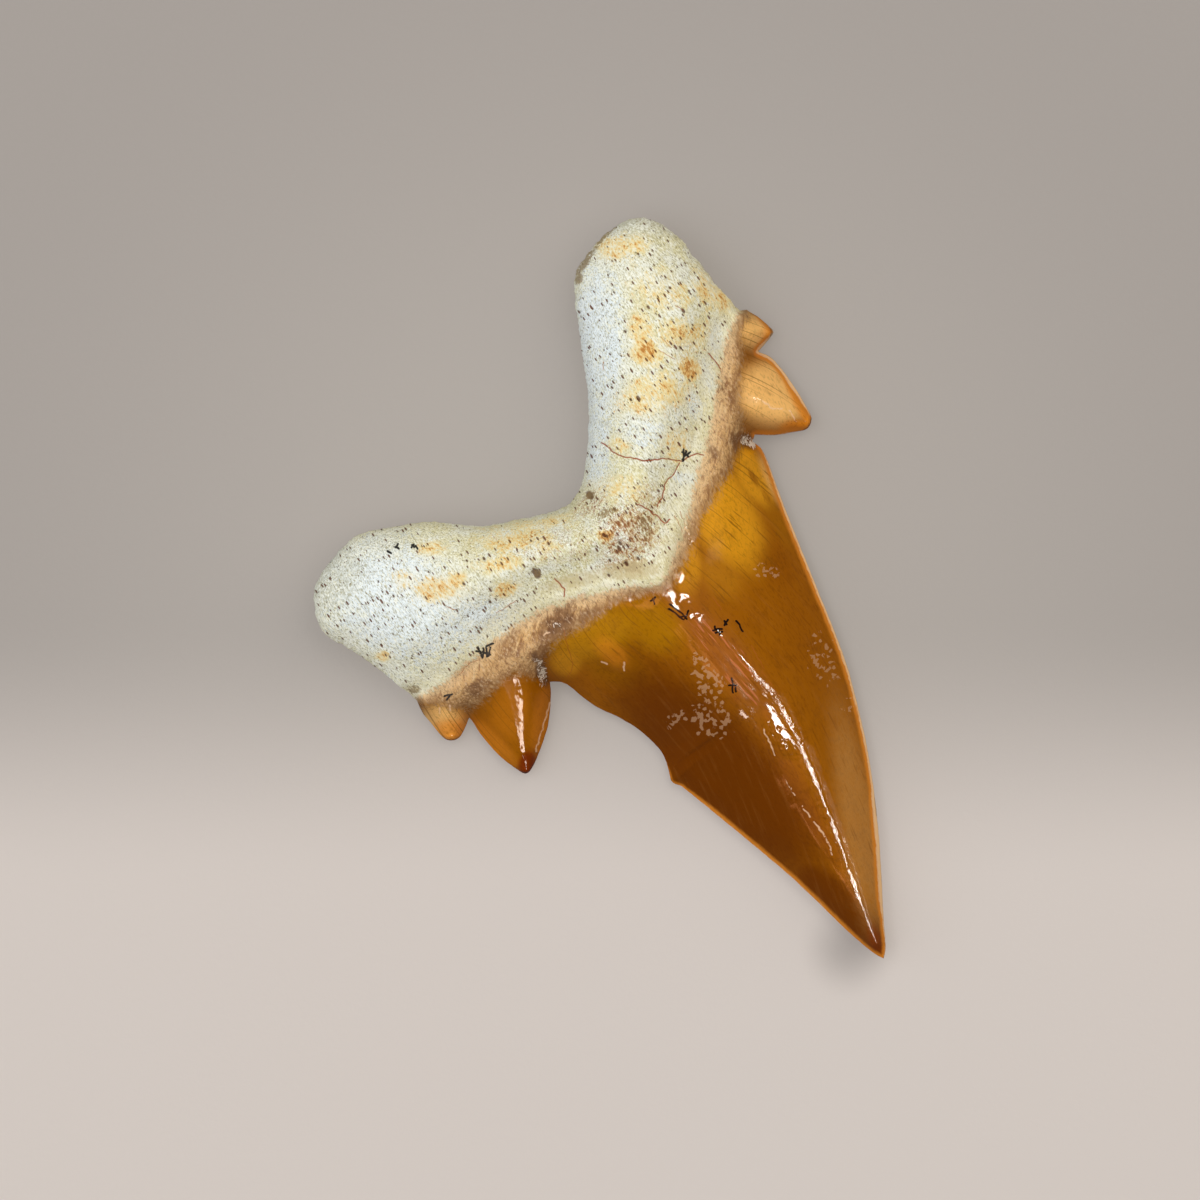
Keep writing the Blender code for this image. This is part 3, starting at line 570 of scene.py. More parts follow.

# Soft patches of tone, each as spots with a centre, half-lengths along and across, a turn and a strength.
# The lit edge is a painted glow of light through thin enamel with a painted cream highlight, the sheen a
# painted pinkish sheen along the shoulder, the shadowed patches painted shade on the neck, and the rim
# where the bone borders on the neck.
PATCHES = {
    "gold": [
        (12.2, 8.8, 6.8, 3.5, -62.0, 1.0), (15.2, 12.4, 3.6, 1.8, -62.0, 0.95),
        (8.6, 3.4, 1.8, 3.4, 0.0, 0.6), (-1.0, -3.8, 4.4, 2.2, 20.0, 0.4),
        (-3.4, -6.2, 1.8, 1.6, 0.0, 0.6), (12.0, 2.6, 3.4, 2.4, -50.0, 0.35),
    ],
    "olive": [
        (-0.6, -3.0, 5.4, 3.2, 15.0, 1.0), (5.0, -2.6, 4.0, 3.0, -30.0, 0.7),
        (1.4, -6.4, 4.5, 2.4, -25.0, 0.5), (17.4, 8.6, 4.4, 0.9, -66.0, 0.35),
    ],
    "dark": [
        (12.0, -17.0, 16.0, 5.8, -46.0, 1.0), (3.4, -8.6, 6.0, 2.4, -30.0, 0.5),
        (23.9, -31.2, 8.0, 2.8, -50.0, 1.0), (17.2, 4.2, 2.4, 1.8, -60.0, 0.2),
    ],
    # A painted glow of light through the thin edges, with a painted cream highlight.
    "lit_edge": [
        (23.5, -10.0, 42.0, 5.0, -76.0, 1.1), (18.0, -27.0, 19.0, 3.0, -41.0, 0.9),
        (17.0, 22.0, 8.0, 8.0, 0.0, 1.15), (-11.0, -13.0, 6.0, 5.0, 0.0, 0.55),
        (27.9, -25.0, 10.0, 3.0, -86.0, 1.3),
    ],
    "brown": [
        (17.8, 3.2, 2.8, 2.0, -60.0, 0.5), (21.0, -4.0, 9.0, 3.4, -68.0, 0.35),
        (15.3, 12.2, 1.1, 0.35, -60.0, 0.7), (16.6, 10.4, 1.2, 0.35, -60.0, 0.5),
    ],
    "pale": [
        (17.3, 20.6, 4.2, 3.6, 0.0, 1.0), (15.9, 27.2, 2.6, 2.4, 0.0, 1.0),
        (-15.8, -12.2, 2.8, 2.3, 0.0, 0.85), (25.8, -22.0, 14.0, 2.2, -80.0, 0.3),
        (17.2, 12.0, 3.4, 0.8, -66.0, 0.5),
    ],
    "orange": [
        # The first spot is a painted soft highlight on the swelling of the distal shoulder; the rest are
        # orange tones of the cusps.
        (1.2, -5.2, 2.4, 1.3, -40.0, 0.5), (20.4, 19.8, 4.4, 1.1, -60.0, 1.0),
        (20.0, 17.2, 2.2, 0.9, 0.0, 0.9), (17.4, 26.8, 1.3, 1.4, 0.0, 0.7),
        (-14.8, -13.2, 2.4, 1.5, 0.0, 0.8), (-10.8, -14.2, 4.4, 1.1, -45.0, 0.5),
        (-5.8, -12.4, 4.4, 1.3, 84.0, 0.5), (-9.0, -11.0, 3.6, 2.4, 80.0, 0.35),
    ],
    "red": [
        (-7.3, -16.6, 1.7, 1.0, 80.0, 1.0), (27.8, -34.4, 2.4, 1.0, -70.0, 0.6),
        (19.7, 17.6, 1.6, 0.9, -10.0, 0.3),
    ],
    # A painted pinkish sheen along the shoulder.
    "sheen": [(12.6, -5.6, 8.6, 2.0, -52.0, 1.0), (9.0, 0.6, 3.0, 2.0, -40.0, 0.5)],
    "etched": [
        (10.8, -8.2, 3.8, 1.3, -68.0, 1.0), (10.9, -12.0, 2.2, 1.9, 0.0, 0.9),
        (8.0, -11.8, 1.6, 0.9, 20.0, 0.7), (22.4, -6.0, 2.8, 1.3, -75.0, 0.66),
        (16.6, 3.0, 1.4, 0.9, 0.0, 0.56), (25.0, -10.6, 0.9, 0.9, 0.0, 0.6),
    ],
    "stain": [
        (4.0, 26.6, 1.2, 1.9, 0.0, 0.8), (4.5, 24.6, 1.5, 1.7, 20.0, 0.85),
        (9.0, 22.9, 1.2, 1.0, -40.0, 1.6), (5.6, 20.6, 3.4, 1.8, 15.0, 0.7),
        (7.6, 15.4, 1.2, 1.3, 0.0, 0.7), (1.9, 15.4, 1.0, 0.8, -30.0, 0.7),
        (1.5, 35.0, 2.4, 1.3, -20.0, 0.55), (3.8, 35.3, 1.1, 0.9, 0.0, 0.6),
        (11.3, 30.6, 2.4, 1.4, -40.0, 0.65), (8.2, 26.4, 2.4, 1.6, 0.0, 0.5),
        (-14.2, 2.0, 0.9, 0.8, 0.0, 1.1), (-16.4, 1.0, 2.3, 1.2, 0.0, 0.75),
        (-19.2, 1.9, 1.4, 0.9, 0.0, 0.5), (-9.4, 1.0, 1.3, 0.8, 20.0, 0.85),
        (-16.8, 5.2, 1.3, 0.7, 0.0, 0.7), (-9.0, 5.8, 2.8, 1.3, 0.0, 0.65),
        (-10.0, 3.6, 2.0, 0.9, 0.0, 0.6), (0.6, 6.4, 0.8, 0.6, 0.0, 1.1), (-5.6, 5.6, 1.6, 1.0, 0.0, 0.6),
        (-21.6, -5.6, 0.8, 0.6, 0.0, 0.7), (2.0, 11.0, 2.4, 1.0, 0.0, 0.45),
        (6.0, 30.5, 2.6, 1.6, -30.0, 0.4), (-6.0, 7.4, 3.0, 0.8, 10.0, 0.45),
    ],
    "rust": [
        (3.0, 6.6, 3.6, 3.4, 0.0, 1.0), (-4.0, 5.4, 5.0, 2.0, 10.0, 0.5), (5.0, 9.8, 2.0, 2.0, 0.0, 0.6),
        (2.5, 3.4, 3.2, 1.3, 5.0, 0.9), (-1.0, 9.4, 2.4, 1.2, 40.0, 0.7),
        (8.6, 24.4, 3.0, 1.4, -50.0, 0.35),
    ],
    "bluish": [
        (-0.2, 25.0, 3.2, 8.0, 0.0, 1.0), (-0.4, 16.0, 1.6, 5.0, 0.0, 0.8),
        (-20.5, 0.0, 8.0, 5.5, -30.0, 1.0), (-12.5, -2.0, 5.0, 2.6, 15.0, 0.8),
        (8.6, 12.0, 1.0, 0.7, 0.0, 0.8), (4.0, 16.6, 3.0, 2.0, 0.0, 0.5),
        (11.5, 26.0, 0.8, 1.7, -10.0, 0.9), (10.7, 22.4, 0.8, 1.8, 10.0, 0.9),
        (9.3, 19.6, 0.8, 1.6, 10.0, 0.8), (7.2, 18.6, 1.2, 1.0, 0.0, 0.5),
        (-12.6, -8.4, 1.4, 0.9, 0.0, 0.9),
    ],
    # Painted shade on the neck.
    "shadowed": [
        (14.2, 15.4, 1.6, 1.0, -60.0, 1.8), (12.0, 13.4, 2.4, 0.7, -60.0, 0.4),
        (-12.4, -8.9, 1.7, 0.8, 30.0, 0.8), (-5.6, -5.8, 0.7, 1.6, 0.0, 0.9),
        (-8.0, -3.6, 3.0, 0.7, 25.0, 0.35), (12.8, 21.0, 0.7, 2.6, 0.0, 0.35),
        (-1.5, -1.6, 3.2, 0.6, 14.0, 0.6), (-4.4, -2.6, 2.6, 1.3, 30.0, 1.0),
        (-6.4, -5.6, 0.4, 0.6, 0.0, 1.2), (-9.0, -5.2, 2.6, 1.0, 30.0, 0.25),
    ],
    "rim": [
        (3.0, 2.9, 3.6, 0.9, 4.0, 1.0), (-2.6, 1.9, 3.6, 0.8, 14.0, 0.8), (7.4, 5.0, 1.0, 2.6, -15.0, 0.6),
    ],
    "crust": [
        (-1.6, 33.8, 2.4, 0.55, 52.0, 1.0), (0.4, 36.4, 1.9, 0.4, 44.0, 0.8),
        (-2.2, 32.0, 0.6, 0.7, 0.0, 1.0), (11.6, 32.0, 3.0, 0.3, -48.0, 0.5),
        (-1.0, 10.4, 0.6, 0.45, 30.0, 0.8), (-6.3, 2.7, 0.7, 0.5, 0.0, 0.8),
        (0.6, 8.6, 1.4, 0.5, 20.0, 0.6), (-18.6, -9.0, 1.0, 0.5, 0.0, 0.7), (4.4, 7.2, 0.8, 1.2, 0.0, 0.6),
    ],
    "grit": [
        (-5.8, -7.3, 0.6, 1.5, 15.0, 1.0), (14.8, 15.8, 1.0, 0.7, -40.0, 1.0),
        (-4.3, -2.5, 0.5, 0.35, 0.0, 0.8),
    ],
    "greyish": [
        (-26.6, 2.4, 3.0, 3.8, -40.0, 1.0), (-22.0, 5.6, 4.0, 1.2, 15.0, 0.6),
        (3.6, 37.0, 4.0, 1.6, 0.0, 0.7),
    ],
    "porous": [
        (-14.0, -0.5, 8.0, 4.0, 10.0, 1.0), (6.0, 24.0, 3.0, 5.0, 0.0, 0.4),
        (0.0, 5.0, 4.0, 3.0, 0.0, 0.6),
    ],
}
SPOT_REACH = 1.4  # a spot fades out at this many times its half-lengths
ENAMEL_LINE = [
    (14.8, 29.0), (14.0, 27.6), (14.0, 26.2), (13.9, 23.0), (13.7, 20.0), (14.0, 17.6), (13.9, 15.8),
    (12.8, 13.0), (11.4, 11.0), (10.0, 8.4), (9.1, 6.0), (7.6, 2.9), (6.4, 1.2), (4.4, 0.9), (2.0, 0.2),
    (0.0, -1.1), (-2.2, -2.6), (-4.6, -4.0), (-5.6, -5.6), (-6.3, -7.2), (-8.5, -7.4), (-10.0, -8.0),
    (-12.5, -10.4), (-14.4, -10.6), (-16.2, -10.2), (-18.3, -10.1),
]


def spots(places, points):
    """The strongest of some soft spots at each point: full well inside one, and below 0 past its reach."""
    strongest = np.full(len(points), -2.0)
    for x, y, along, across, turn, strength in places:
        turn = math.radians(turn)
        offset = points - (x, y)
        u = (offset[:, 0] * math.cos(turn) + offset[:, 1] * math.sin(turn)) / along
        v = (offset[:, 1] * math.cos(turn) - offset[:, 0] * math.sin(turn)) / across
        within = SPOT_REACH - np.hypot(u, v)
        strongest = np.maximum(strongest, np.where(within > 0, strength * ease(within), within))
    return strongest


def lumps(points, size, seed):
    """Smooth noise between -1 and 1 over the plan, with bumps of about the given size."""
    return np.array([noise.noise((x / size, y / size, seed)) for x, y in points])


def strokes_tree(strokes):
    """A lookup for the nearest place on any of some strokes, which waver a little."""
    steps = np.vstack([smooth_curve(stroke, LINE_STEP) for stroke in strokes])
    steps += STROKE_WAVER * np.stack([lumps(steps, WAVER_LENGTH, seed) for seed in (20.0, 21.0)], axis=1)
    lookup = kdtree.KDTree(len(steps))
    for number, (x, y) in enumerate(steps):
        lookup.insert((x, y, 0.0), number)
    lookup.balance()
    return lookup


# The fine mesh: a copy of the solid, merged and divided into two parts to each edge, six on the inner
# face, and more again along the strokes, so that these stay crisp.
bm = bmesh.new()
bm.from_mesh(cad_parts["tooth"].data)
bmesh.ops.remove_doubles(bm, verts=bm.verts, dist=1e-6)
pit_strokes = [[(x - PIT_RIGHT, y + PIT_DOWN), (x + PIT_RIGHT, y - PIT_DOWN)] for x, y, _, _ in PITS]
all_strokes = strokes_tree(CRACKS + HAIRS + PAINTED_HIGHLIGHT_STROKES + INK_STROKES + pit_strokes)


def divide(edges, cuts):
    """Divides some edges and leaves only triangles."""
    bmesh.ops.subdivide_edges(bm, edges=edges, cuts=cuts, use_grid_fill=True)
    bmesh.ops.triangulate(bm, faces=[face for face in bm.faces if len(face.verts) > 3])
    bm.normal_update()


def near_strokes(edge, reach):
    """True for an edge of the inner face whose ends both lie near a stroke."""
    places = [(np.array(vert.co[:2]) / MM + plan_middle) @ view_turn.T for vert in edge.verts]
    return all(all_strokes.find((x, y, 0.0))[2] < reach for x, y in places)


divide(bm.edges, 1)
divide(list({edge for face in bm.faces if face.normal.z > 0 for edge in face.edges}), 2)
for reach in FINE_REACHES:
    upper = {edge for face in bm.faces if face.normal.z > 0 for edge in face.edges}
    divide([edge for edge in upper if near_strokes(edge, reach)], 1)

plan = (np.array([vert.co[:2] for vert in bm.verts]) / MM + plan_middle) @ view_turn.T
faces_up = np.array([any(face.normal.z > 0 for face in vert.link_faces) for vert in bm.verts])
faces_down = np.array([any(face.normal.z < 0 for face in vert.link_faces) for vert in bm.verts])
on_rim, on_outer = faces_up & faces_down, faces_down & ~faces_up

# The form under the fine mesh.
rim_curve = outline(CURVE_STEP)
from_edge, nearest_rim = nearest_on(rim_curve, plan)
plan[on_rim] = rim_curve[nearest_rim[on_rim]]
from_edge[on_rim] = 0.0
past_neck = past_line(NECK_LINE, plan)
inner = inner_height(plan, from_edge, past_neck)
outer = outer_height(plan, from_edge, past_neck)
rim_height = edge_height(plan, past_neck) + tip_lift(plan)

# Where each point lies in the pattern of the tooth. The outer face has a neck line of its own, and the
# marks of the inner face fade out round the outline.
OUTER_LINE_REACH, OUTER_NECK_WIDTH, MARKS_REACH = 2.5, 0.8, 1.5
crest_curve = smooth_curve(CREST, CURVE_STEP)
off_crest, nearest_crest = nearest_on(crest_curve, plan)
off_crest *= side_of(crest_curve, plan, nearest_crest)
into_enamel = -past_line(ENAMEL_LINE, plan)
past_outer_neck = past_line(OUTER_NECK_LINE, plan)
around = np.where(on_outer, ease(from_edge / OUTER_LINE_REACH), 0.0)
bone_depth = past_neck + (past_outer_neck - past_neck) * around
into_enamel += (-past_outer_neck - OUTER_NECK_WIDTH - into_enamel) * around
seen = np.where(on_outer, ease(1.0 - from_edge / MARKS_REACH), 1.0)
patch = {name: spots(places, plan) * seen + 2.0 * (seen - 1.0) for name, places in PATCHES.items()}
to_stroke = {}
# The strokes named worn are painted highlights.
for name, strokes in (("crack", CRACKS), ("hair", HAIRS), ("worn", PAINTED_HIGHLIGHT_STROKES), ("ink", INK_STROKES)):
    lookup = strokes_tree(strokes)
    to_stroke["to_" + name] = np.where(on_outer, FAR, [lookup.find((x, y, 0.0))[2] for x, y in plan])

pit = np.zeros(len(plan))
pit_depth = np.zeros(len(plan))
along, across = np.array(CANAL_DIRECTION), np.array([CANAL_DIRECTION[1], -CANAL_DIRECTION[0]])
for x, y, radius, depth in PITS:
    offset = plan - (x, y)
    near = np.hypot(offset @ along / CANAL_STRETCH, offset @ across) / radius
    cup = ease(1.25 - near)
    pit = np.maximum(pit, cup)
    pit_depth = np.maximum(pit_depth, depth * cup)
pit[on_outer] = pit_depth[on_outer] = 0.0

# Fine relief: lumps with a height, a size across and a seed, and ripples with a height, width and length.
BONE_LUMPS = [(0.16, 5.0, 1.0), (0.08, 1.6, 2.0), (0.05, 0.6, 3.0)]
ENAMEL_LUMPS = [(0.05, 4.0, 4.0), (0.012, 0.9, 5.0)]
SHEEN_RIPPLES, RIPPLE_WIDTH, RIPPLE_LENGTH = 0.016, 0.55, 7.0
CREST_RIPPLES, CREST_REACH, CREST_START, CREST_FADE = 0.02, 1.8, 10.0, 3.0
NECK_FIBRES, FIBRE_WIDTH, FIBRE_LENGTH = 0.07, 0.34, 2.2
GRIT_HEIGHT, GRIT_SIZE, CRUST_HEIGHT, CRUST_SIZE = 0.28, 0.42, 0.1, 0.5
CRACK_DEPTH, CRACK_WIDTH = 0.1, 0.13
FLAT_EDGE_SIZE, FLAT_LUMP_HEIGHT, FLAT_LUMP_SIZE = 0.45, 0.005, 0.35
RELIEF_START = 0.5  # the relief fades out this near to the outline
NECK_BLEND = 0.8  # how wide the borders between bone, neck and enamel are

bone = ease(past_neck / NECK_BLEND + 0.5)
enamel = ease(into_enamel / NECK_BLEND + 0.3)
neck = np.clip(1.0 - bone - enamel, 0.0, 1.0)
crest_length = nearest_crest * CURVE_STEP
along_fibres, across_fibres = plan @ FIBRE_DIRECTION, plan @ (FIBRE_DIRECTION[1], -FIBRE_DIRECTION[0])
along_canals, across_canals = plan @ CANAL_DIRECTION, plan @ (CANAL_DIRECTION[1], -CANAL_DIRECTION[0])
along_crest = np.stack([off_crest / RIPPLE_WIDTH, crest_length / RIPPLE_LENGTH], axis=1)
near_crest = ease(1.0 - np.abs(off_crest) / CREST_REACH) * ease((crest_length - CREST_START) / CREST_FADE)
neck_fibres = np.stack([across_fibres / FIBRE_WIDTH, along_fibres / FIBRE_LENGTH], axis=1)
fibrous = neck + 0.25 * enamel * ease(1.0 - into_enamel / 2.5)
relief = bone * sum(rise * lumps(plan, size, seed) for rise, size, seed in BONE_LUMPS)
relief += enamel * sum(rise * lumps(plan, size, seed) for rise, size, seed in ENAMEL_LUMPS)
relief += enamel * np.maximum(patch["sheen"], 0.0) * SHEEN_RIPPLES * lumps(along_crest, 1.0, 6.0)
relief += enamel * near_crest * CREST_RIPPLES * lumps(along_crest * (1.4, 5.0), 1.0, 12.0)
relief += fibrous * NECK_FIBRES * lumps(neck_fibres, 1.0, 7.0)
for x, y, along, across, turn, rise in SWELLINGS:
    relief += rise * np.maximum(spots([(x, y, along, across, turn, 1.0)], plan), 0.0) * ~on_outer
polished = np.zeros(len(plan))
for slope, flats in FLATS.items():
    for x, y, along, across, turn, rise in flats:
        share = np.maximum(spots([(x, y, along, across, turn, 1.0)], plan), 0.0) * ~on_outer
        share *= ease(0.9 + 1.3 * lumps(plan, FLAT_EDGE_SIZE, 15.0))
        middle = np.argmin(np.hypot(plan[:, 0] - x, plan[:, 1] - y) + FAR * on_outer)
        flat = inner[middle] + rise + (plan - (x, y)) @ slope
        flat += FLAT_LUMP_HEIGHT * lumps(plan, FLAT_LUMP_SIZE, 14.0)
        relief += share * (flat - inner - relief)
        polished = np.maximum(polished, share)
relief += np.maximum(patch["grit"], 0.0) * GRIT_HEIGHT * ease(1.5 * lumps(plan, GRIT_SIZE, 8.0) + 0.2)
relief += np.maximum(patch["crust"], 0.0) * CRUST_HEIGHT * lumps(plan, CRUST_SIZE, 9.0)
relief -= pit_depth * bone + CRACK_DEPTH * ease(1.2 - to_stroke["to_crack"] / CRACK_WIDTH)
relief *= ease(from_edge / RELIEF_START)

# The outline is worn in a little, more on the bone, and nicked.
EDGE_WEAR, WEAR_REACH = 0.05, 0.9
NICK_SIZE, FINE_NICK_SIZE = 1.1, 0.4
worn = (0.5 + 1.7 * ease(bone_depth)) * EDGE_WEAR
outline_forward = np.gradient(rim_curve, axis=0)[nearest_rim]
outline_forward /= np.linalg.norm(outline_forward, axis=1)[:, None]
inward = np.stack([outline_forward[:, 1], -outline_forward[:, 0]], axis=1)
rim_places = rim_curve[nearest_rim]
nick = worn * (1.0 + lumps(rim_places, NICK_SIZE, 10.0) + 0.8 * lumps(rim_places, FINE_NICK_SIZE, 11.0))
plan += inward * (np.maximum(nick, 0.0) * ease(1.0 - from_edge / WEAR_REACH))[:, None]

height = np.where(on_rim, rim_height, np.where(on_outer, outer, np.maximum(inner + relief, outer + 0.05)))
placed = plan @ view_turn - plan_middle
for vert, (x, y), z in zip(bm.verts, placed, height):
    vert.co = (x * MM, y * MM, z * MM)
tooth_mesh = bpy.data.meshes.new("fossil_tooth")
bm.to_mesh(tooth_mesh)
bm.free()
tooth_mesh.shade_smooth()
tooth_mesh.materials.clear()

fields = {
    "from_edge": from_edge, "bone_depth": bone_depth, "into_enamel": into_enamel,
    "pit": pit, "polished": polished, "near_crest": near_crest, **to_stroke, **patch,
}
for name, values in fields.items():
    tooth_mesh.attributes.new(name, "FLOAT", "POINT").data.foreach_set("value", values.astype(np.float32))

# How many times patterns are drawn out along the canals of the bone, the neck's fibres and the blade.
CANALS_DRAWN, FIBRES_DRAWN, STRIAE_DRAWN = 2.7, 4.0, 14.0
vectors = {
    "place": np.column_stack([plan, height]),
    "canals": np.column_stack([along_canals / CANALS_DRAWN, across_canals, height]),
    "neck_fibres": np.column_stack([across_fibres, along_fibres / FIBRES_DRAWN, height]),
    "crest_fibres": np.column_stack([off_crest, crest_length / STRIAE_DRAWN, np.zeros(len(plan))]),
}
for name, values in vectors.items():
    layer = tooth_mesh.attributes.new(name, "FLOAT_VECTOR", "POINT")
    layer.data.foreach_set("vector", values.astype(np.float32).ravel())

# The material. Fossil enamel is polished and stained amber, with a painted pinkish sheen and painted
# highlight strokes, and its thin edges carry a painted orange glow of light shining through them and a
# painted cream highlight. The neck is bare, fibrous dentine, with painted shade in places. The root is
# bone, matt and chalky, with open pores and ochre stains. Its grain, the enamel's growth lines and the
# neck's fibres are too fine to show, so they are drawn coarser.
PATTERNS = [
    # number, vector, scale in 1/mm, detail, roughness, distortion
    ("grain", "canals", 8.0, 1.0, 0.5, 0.0), ("speckle", "canals", 4.4, 3.0, 0.6, 0.0),
    ("mottle", "place", 0.55, 6.0, 0.65, 0.0), ("cloud", "place", 0.16, 3.0, 0.5, 0.0),
    ("flecks", "place", 1.9, 3.0, 0.7, 0.6), ("veins", "place", 1.3, 4.0, 0.7, 0.4),
    ("fibre", "neck_fibres", 2.2, 5.0, 0.7, 0.8), ("growth", "crest_fibres", 2.4, 3.0, 0.6, 0.0),
    ("striae", "crest_fibres", 4.2, 2.0, 0.5, 0.0),
]
PORES = [
    # number, vector, spacing in mm: flat cells, each with a pore or an etched fleck
    ("dashes", "canals", 0.52), ("dots", "place", 0.4), ("holes", "canals", 1.5), ("cells", "place", 0.33),
]
SUMS = [
    # new number = first * factor + added
    ("fine_ragged", "speckle", 2.2, -2.1), ("ragged", "mottle", 2.0, "fine_ragged"),
    ("dashes", "dashes_size", -0.29, "dashes"), ("dashes", "porous", -0.015, "dashes"),
    ("dots", "dots_size", -0.2, "dots"), ("holes", "holes_size", -0.16, "holes"),
    ("vein", "rust", -0.02, "vein"), ("yellowish", "cloud", 0.6, "mottle"),
    ("smudge_and_shade", "fibre", 0.6, "mottle"), ("smudge_and_shade", "shadowed", 0.35, "smudge_and_shade"),
    ("edge_glow", "lit_edge", -1.0, "from_edge"), ("etching", "etched", 0.5, "cells_size"),
    ("etching", "flecks", 0.6, "etching"), ("chips", "flecks", 0.04, 0.0),
    ("sheen_streaks", "sheen", 0.3, "striae"), ("dark_striae", "sheen", -0.3, "striae"),
    ("base_lines", "into_enamel", -0.07, "fibre"), ("base_streaks", "into_enamel", -0.014, "striae"),
    ("bone_height", "speckle", 0.12, 0.0), ("neck_height", "fibre", 0.1, 0.0),
    ("enamel_height", "growth", 0.01, 0.0),
]
DOTS, DASHES, HOLES, ETCHED = (-0.06, -0.11), (-0.09, -0.14), (-0.08, -0.1), (1.34, 1.4)  # their edges
# Each layer: its number, how ragged its edge is, where it starts and is full, its strength, its colour.
BONE = "#eaebd7"
BONE_LAYERS = [
    ("yellowish", 0.0, 0.66, 0.9, 0.9, "#e0d9a6"),
    ("bluish", 1.6, 0.0, 1.0, 0.95, "#e6f1f4"),
    ("greyish", 1.2, 0.0, 1.2, 0.75, "#c9cbba"),
    ("speckle", 0.0, 0.5, 0.72, 0.5, "#aca068"), ("speckle", 0.0, 0.48, 0.3, 0.5, "#fdfff4"),
    ("grain", 0.0, 0.51, 0.7, 0.6, "#958a54"), ("grain", 0.0, 0.49, 0.32, 0.5, "#fdfff8"),
    ("stain", 1.1, -0.15, 0.9, 0.8, "#f0da98"), ("stain", 1.6, 0.5, 1.4, 0.7, "#e0a648"),
    ("stain", 2.2, 1.2, 1.8, 0.8, "#b26c1a"),
    ("vein", 0.0, 0.002, -0.004, 0.75, "#9a5220"),
    ("rust", 1.4, 0.6, 1.4, 0.6, "#bc8448"), ("rust", 1.9, 1.15, 1.7, 0.8, "#7c4018"),
    ("bone_depth", 0.9, 3.0, 0.4, 0.4, "#e8dcae"), ("rim", 0.6, 0.0, 0.9, 0.75, "#c8b98c"),
    ("dots", 0.0, *DOTS, 0.85, "#6a4422"), ("dashes", 0.0, *DASHES, 0.9, "#683c1c"),
    ("holes", 0.0, *HOLES, 0.9, "#6c3414"),
    ("pit", 0.15, 0.3, 0.8, 0.85, "#5c341a"),
    ("crust", 1.0, 0.3, 0.9, 0.8, "#8c744c"),
]
NECK = "#cfa268"
NECK_LAYERS = [
    ("bone_depth", 0.7, -1.6, 0.0, 0.75, "#e6c898"),
    ("fibre", 0.0, 0.5, 0.64, 0.7, "#8c5c34"), ("fibre", 0.0, 0.48, 0.34, 0.6, "#e8c896"),
    # The smudges mix the neck's own dark mottling with painted shade from the shadowed patches.
    ("smudge_and_shade", 0.0, 0.8, 1.06, 0.75, "#80542c"), ("smudge_and_shade", 0.0, 1.0, 1.25, 0.8, "#5a341c"),
    ("speckle", 0.0, 0.52, 0.68, 0.6, "#7c5634"), ("speckle", 0.0, 0.46, 0.34, 0.5, "#e0c098"),
    ("grain", 0.0, 0.52, 0.68, 0.4, "#7c5634"),
    ("into_enamel", 0.9, -1.2, -0.1, 0.55, "#875a2a"),
]
ENAMEL = "#9c5b04"
ENAMEL_LAYERS = [
    ("olive", 0.12, 0.0, 1.0, 0.9, "#b47a00"), ("gold", 0.12, 0.0, 1.0, 1.0, "#e29c1c"),
    ("brown", 0.12, 0.0, 1.0, 0.85, "#8a4b00"), ("dark", 0.12, 0.0, 1.0, 0.97, "#6b3300"),
    ("pale", 0.12, 0.0, 1.0, 1.0, "#fcc474"), ("orange", 0.2, 0.0, 1.0, 0.85, "#ea8e22"),
    # The sheen layer is a painted pinkish sheen.
    ("red", 0.12, 0.0, 1.0, 0.9, "#762400"), ("sheen", 0.12, 0.0, 1.0, 0.5, "#96541a"),
    ("growth", 0.0, 0.5, 0.75, 0.1, "#b87a3a"), ("mottle", 0.0, 0.5, 0.7, 0.24, "#6e3a06"),
    ("speckle", 0.0, 0.5, 0.7, 0.3, "#5c2e00"), ("striae", 0.0, 0.55, 0.75, 0.35, "#6b3300"),
    # The sheen streaks are painted pale streaks of reflection within the sheen.
    ("sheen_streaks", 0.0, 0.84, 0.92, 0.6, "#d27a4c"), ("dark_striae", 0.0, 0.16, 0.08, 0.6, "#7a400c"),
    ("base_lines", 0.0, 0.48, 0.62, 0.5, "#7d4c1a"), ("base_streaks", 0.0, 0.52, 0.62, 0.5, "#84520e"),
    # The edge glow is painted light: orange where light shines through the thin edge, then a painted cream
    # highlight at it.
    ("edge_glow", 0.08, -0.35, -0.75, 0.9, "#da862a"), ("edge_glow", 0.14, -0.8, -0.98, 0.75, "#f4d0a0"),
    ("etching", 0.0, *ETCHED, 0.36, "#d8ac82"),
]
WHOLE_LAYERS = [
    ("grit", 0.0, 0.1, 0.8, 0.6, "#54341e"), ("grit", 1.6, 0.7, 1.1, 1.0, "#e8d8c4"),
    ("to_crack", 0.035, 0.1, 0.03, 0.9, "#9a4412"), ("to_hair", 0.03, 0.06, 0.015, 0.7, "#a85a1e"),
    # to_worn lays the painted highlight strokes in pale cream.
    ("to_worn", 0.1, 0.12, 0.02, 0.6, "#fbd4ac"), ("to_ink", 0.07, 0.13, 0.07, 0.97, "#07060a"),
]

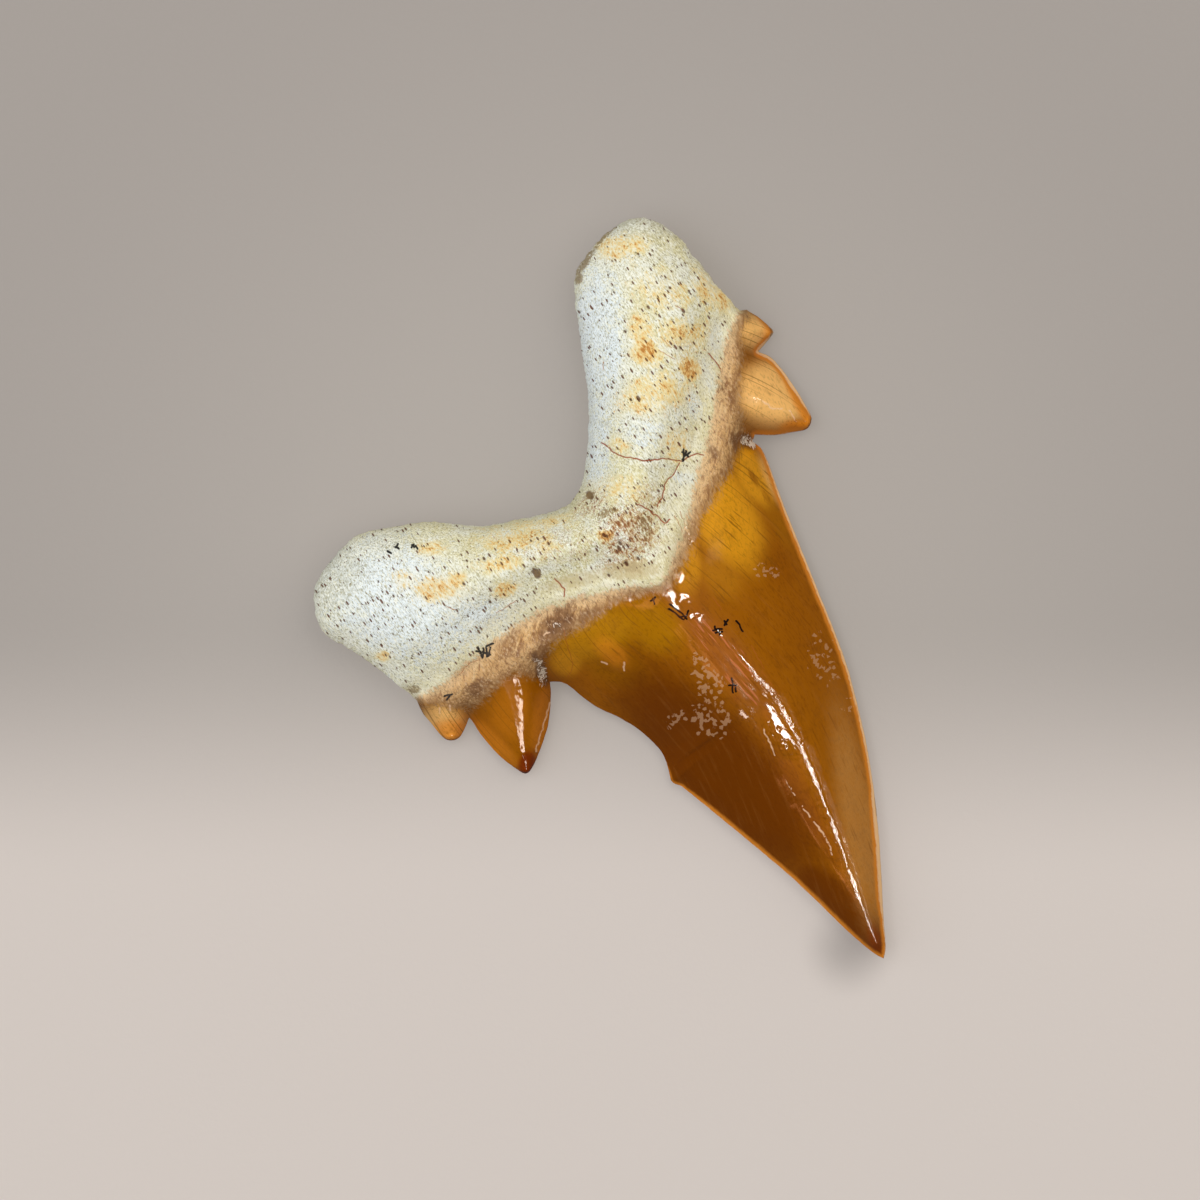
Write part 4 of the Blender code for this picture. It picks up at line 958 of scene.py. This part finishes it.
tooth_material, tree, shader = new_material("fossil_enamel_and_bone")
number = {name: add(tree, "ShaderNodeAttribute", out="Fac", attribute_name=name) for name in fields}
vector = {name: add(tree, "ShaderNodeAttribute", out="Vector", attribute_name=name) for name in vectors}
for name, along, scale, detail, roughness, distortion in PATTERNS:
    number[name] = add(tree, "ShaderNodeTexNoise", {
        "Vector": vector[along], "Scale": scale,
        "Detail": detail, "Roughness": roughness, "Distortion": distortion,
    })
for name, along, spacing in PORES:
    pores = add(tree, "ShaderNodeTexVoronoi", {
        "Vector": vector[along], "Scale": 1 / spacing,
    }, voronoi_dimensions="2D")
    number[name] = pores
    number[name + "_size"] = add(tree, "ShaderNodeSeparateXYZ", {0: pores.node.outputs["Color"]})
centred = add(tree, "ShaderNodeMath", {0: number["veins"], 1: -0.5})
number["vein"] = add(tree, "ShaderNodeMath", {0: centred}, operation="ABSOLUTE")
for name, first, factor, added in SUMS:
    number[name] = add(tree, "ShaderNodeMath", {
        0: number[first], 1: factor, 2: number.get(added, added),
    }, operation="MULTIPLY_ADD")

bone = layered(tree, number, BONE, BONE_LAYERS)
neck = layered(tree, number, NECK, NECK_LAYERS)
enamel = layered(tree, number, ENAMEL, ENAMEL_LAYERS)
colour = layered(tree, number, neck, [
    ("bone_depth", 0.8, -0.35, 0.35, 1.0, bone), ("into_enamel", 0.9, -0.4, 0.9, 1.0, enamel),
    *WHOLE_LAYERS,
])
INTO_BONE, INTO_ENAMEL = ("bone_depth", 0.7, -0.6, 0.6, 1.0), ("into_enamel", 0.7, -0.4, 0.7, 1.0)
NECK_ROUGH, BONE_ROUGH, ENAMEL_ROUGH, ETCHED_ROUGH, POLISHED_ROUGH = 0.58, 0.85, 0.12, 0.34, 0.08
DOT_HEIGHT, DASH_HEIGHT, HOLE_HEIGHT = -0.02, -0.04, -0.1
rough = layered(tree, number, NECK_ROUGH, [
    (*INTO_BONE, BONE_ROUGH), (*INTO_ENAMEL, ENAMEL_ROUGH), ("etching", 0.0, *ETCHED, 1.0, ETCHED_ROUGH),
    ("sheen", 0.0, 0.0, 1.0, 1.0, ENAMEL_ROUGH), ("polished", 0.0, 0.0, 0.8, 1.0, POLISHED_ROUGH),
    ("near_crest", 0.0, 0.0, 0.5, 1.0, POLISHED_ROUGH),
], "FLOAT")
bone_height = layered(tree, number, number["bone_height"], [
    ("dots", 0.0, *DOTS, 1.0, DOT_HEIGHT), ("dashes", 0.0, *DASHES, 1.0, DASH_HEIGHT),
    ("holes", 0.0, *HOLES, 1.0, HOLE_HEIGHT),
], "FLOAT")
enamel_height = layered(tree, number, number["enamel_height"], [
    ("near_crest", 0.0, 0.3, 1.0, 1.0, number["chips"]),
], "FLOAT")
relief_height = layered(tree, number, number["neck_height"], [
    (*INTO_BONE, bone_height), (*INTO_ENAMEL, enamel_height),
], "FLOAT")
bumped = add(tree, "ShaderNodeBump", {"Height": relief_height, "Strength": 1.0, "Distance": MM})
tree.links.new(colour, shader.inputs["Base Color"])
tree.links.new(rough, shader.inputs["Roughness"])
tree.links.new(bumped, shader.inputs["Normal"])
shader.inputs["Specular IOR Level"].default_value = 0.3
tooth_mesh.materials.append(tooth_material)

tooth = bpy.data.objects.new("fossil_tooth", tooth_mesh)
bpy.context.scene.collection.objects.link(tooth)
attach(tooth, "root")
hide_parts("tooth")
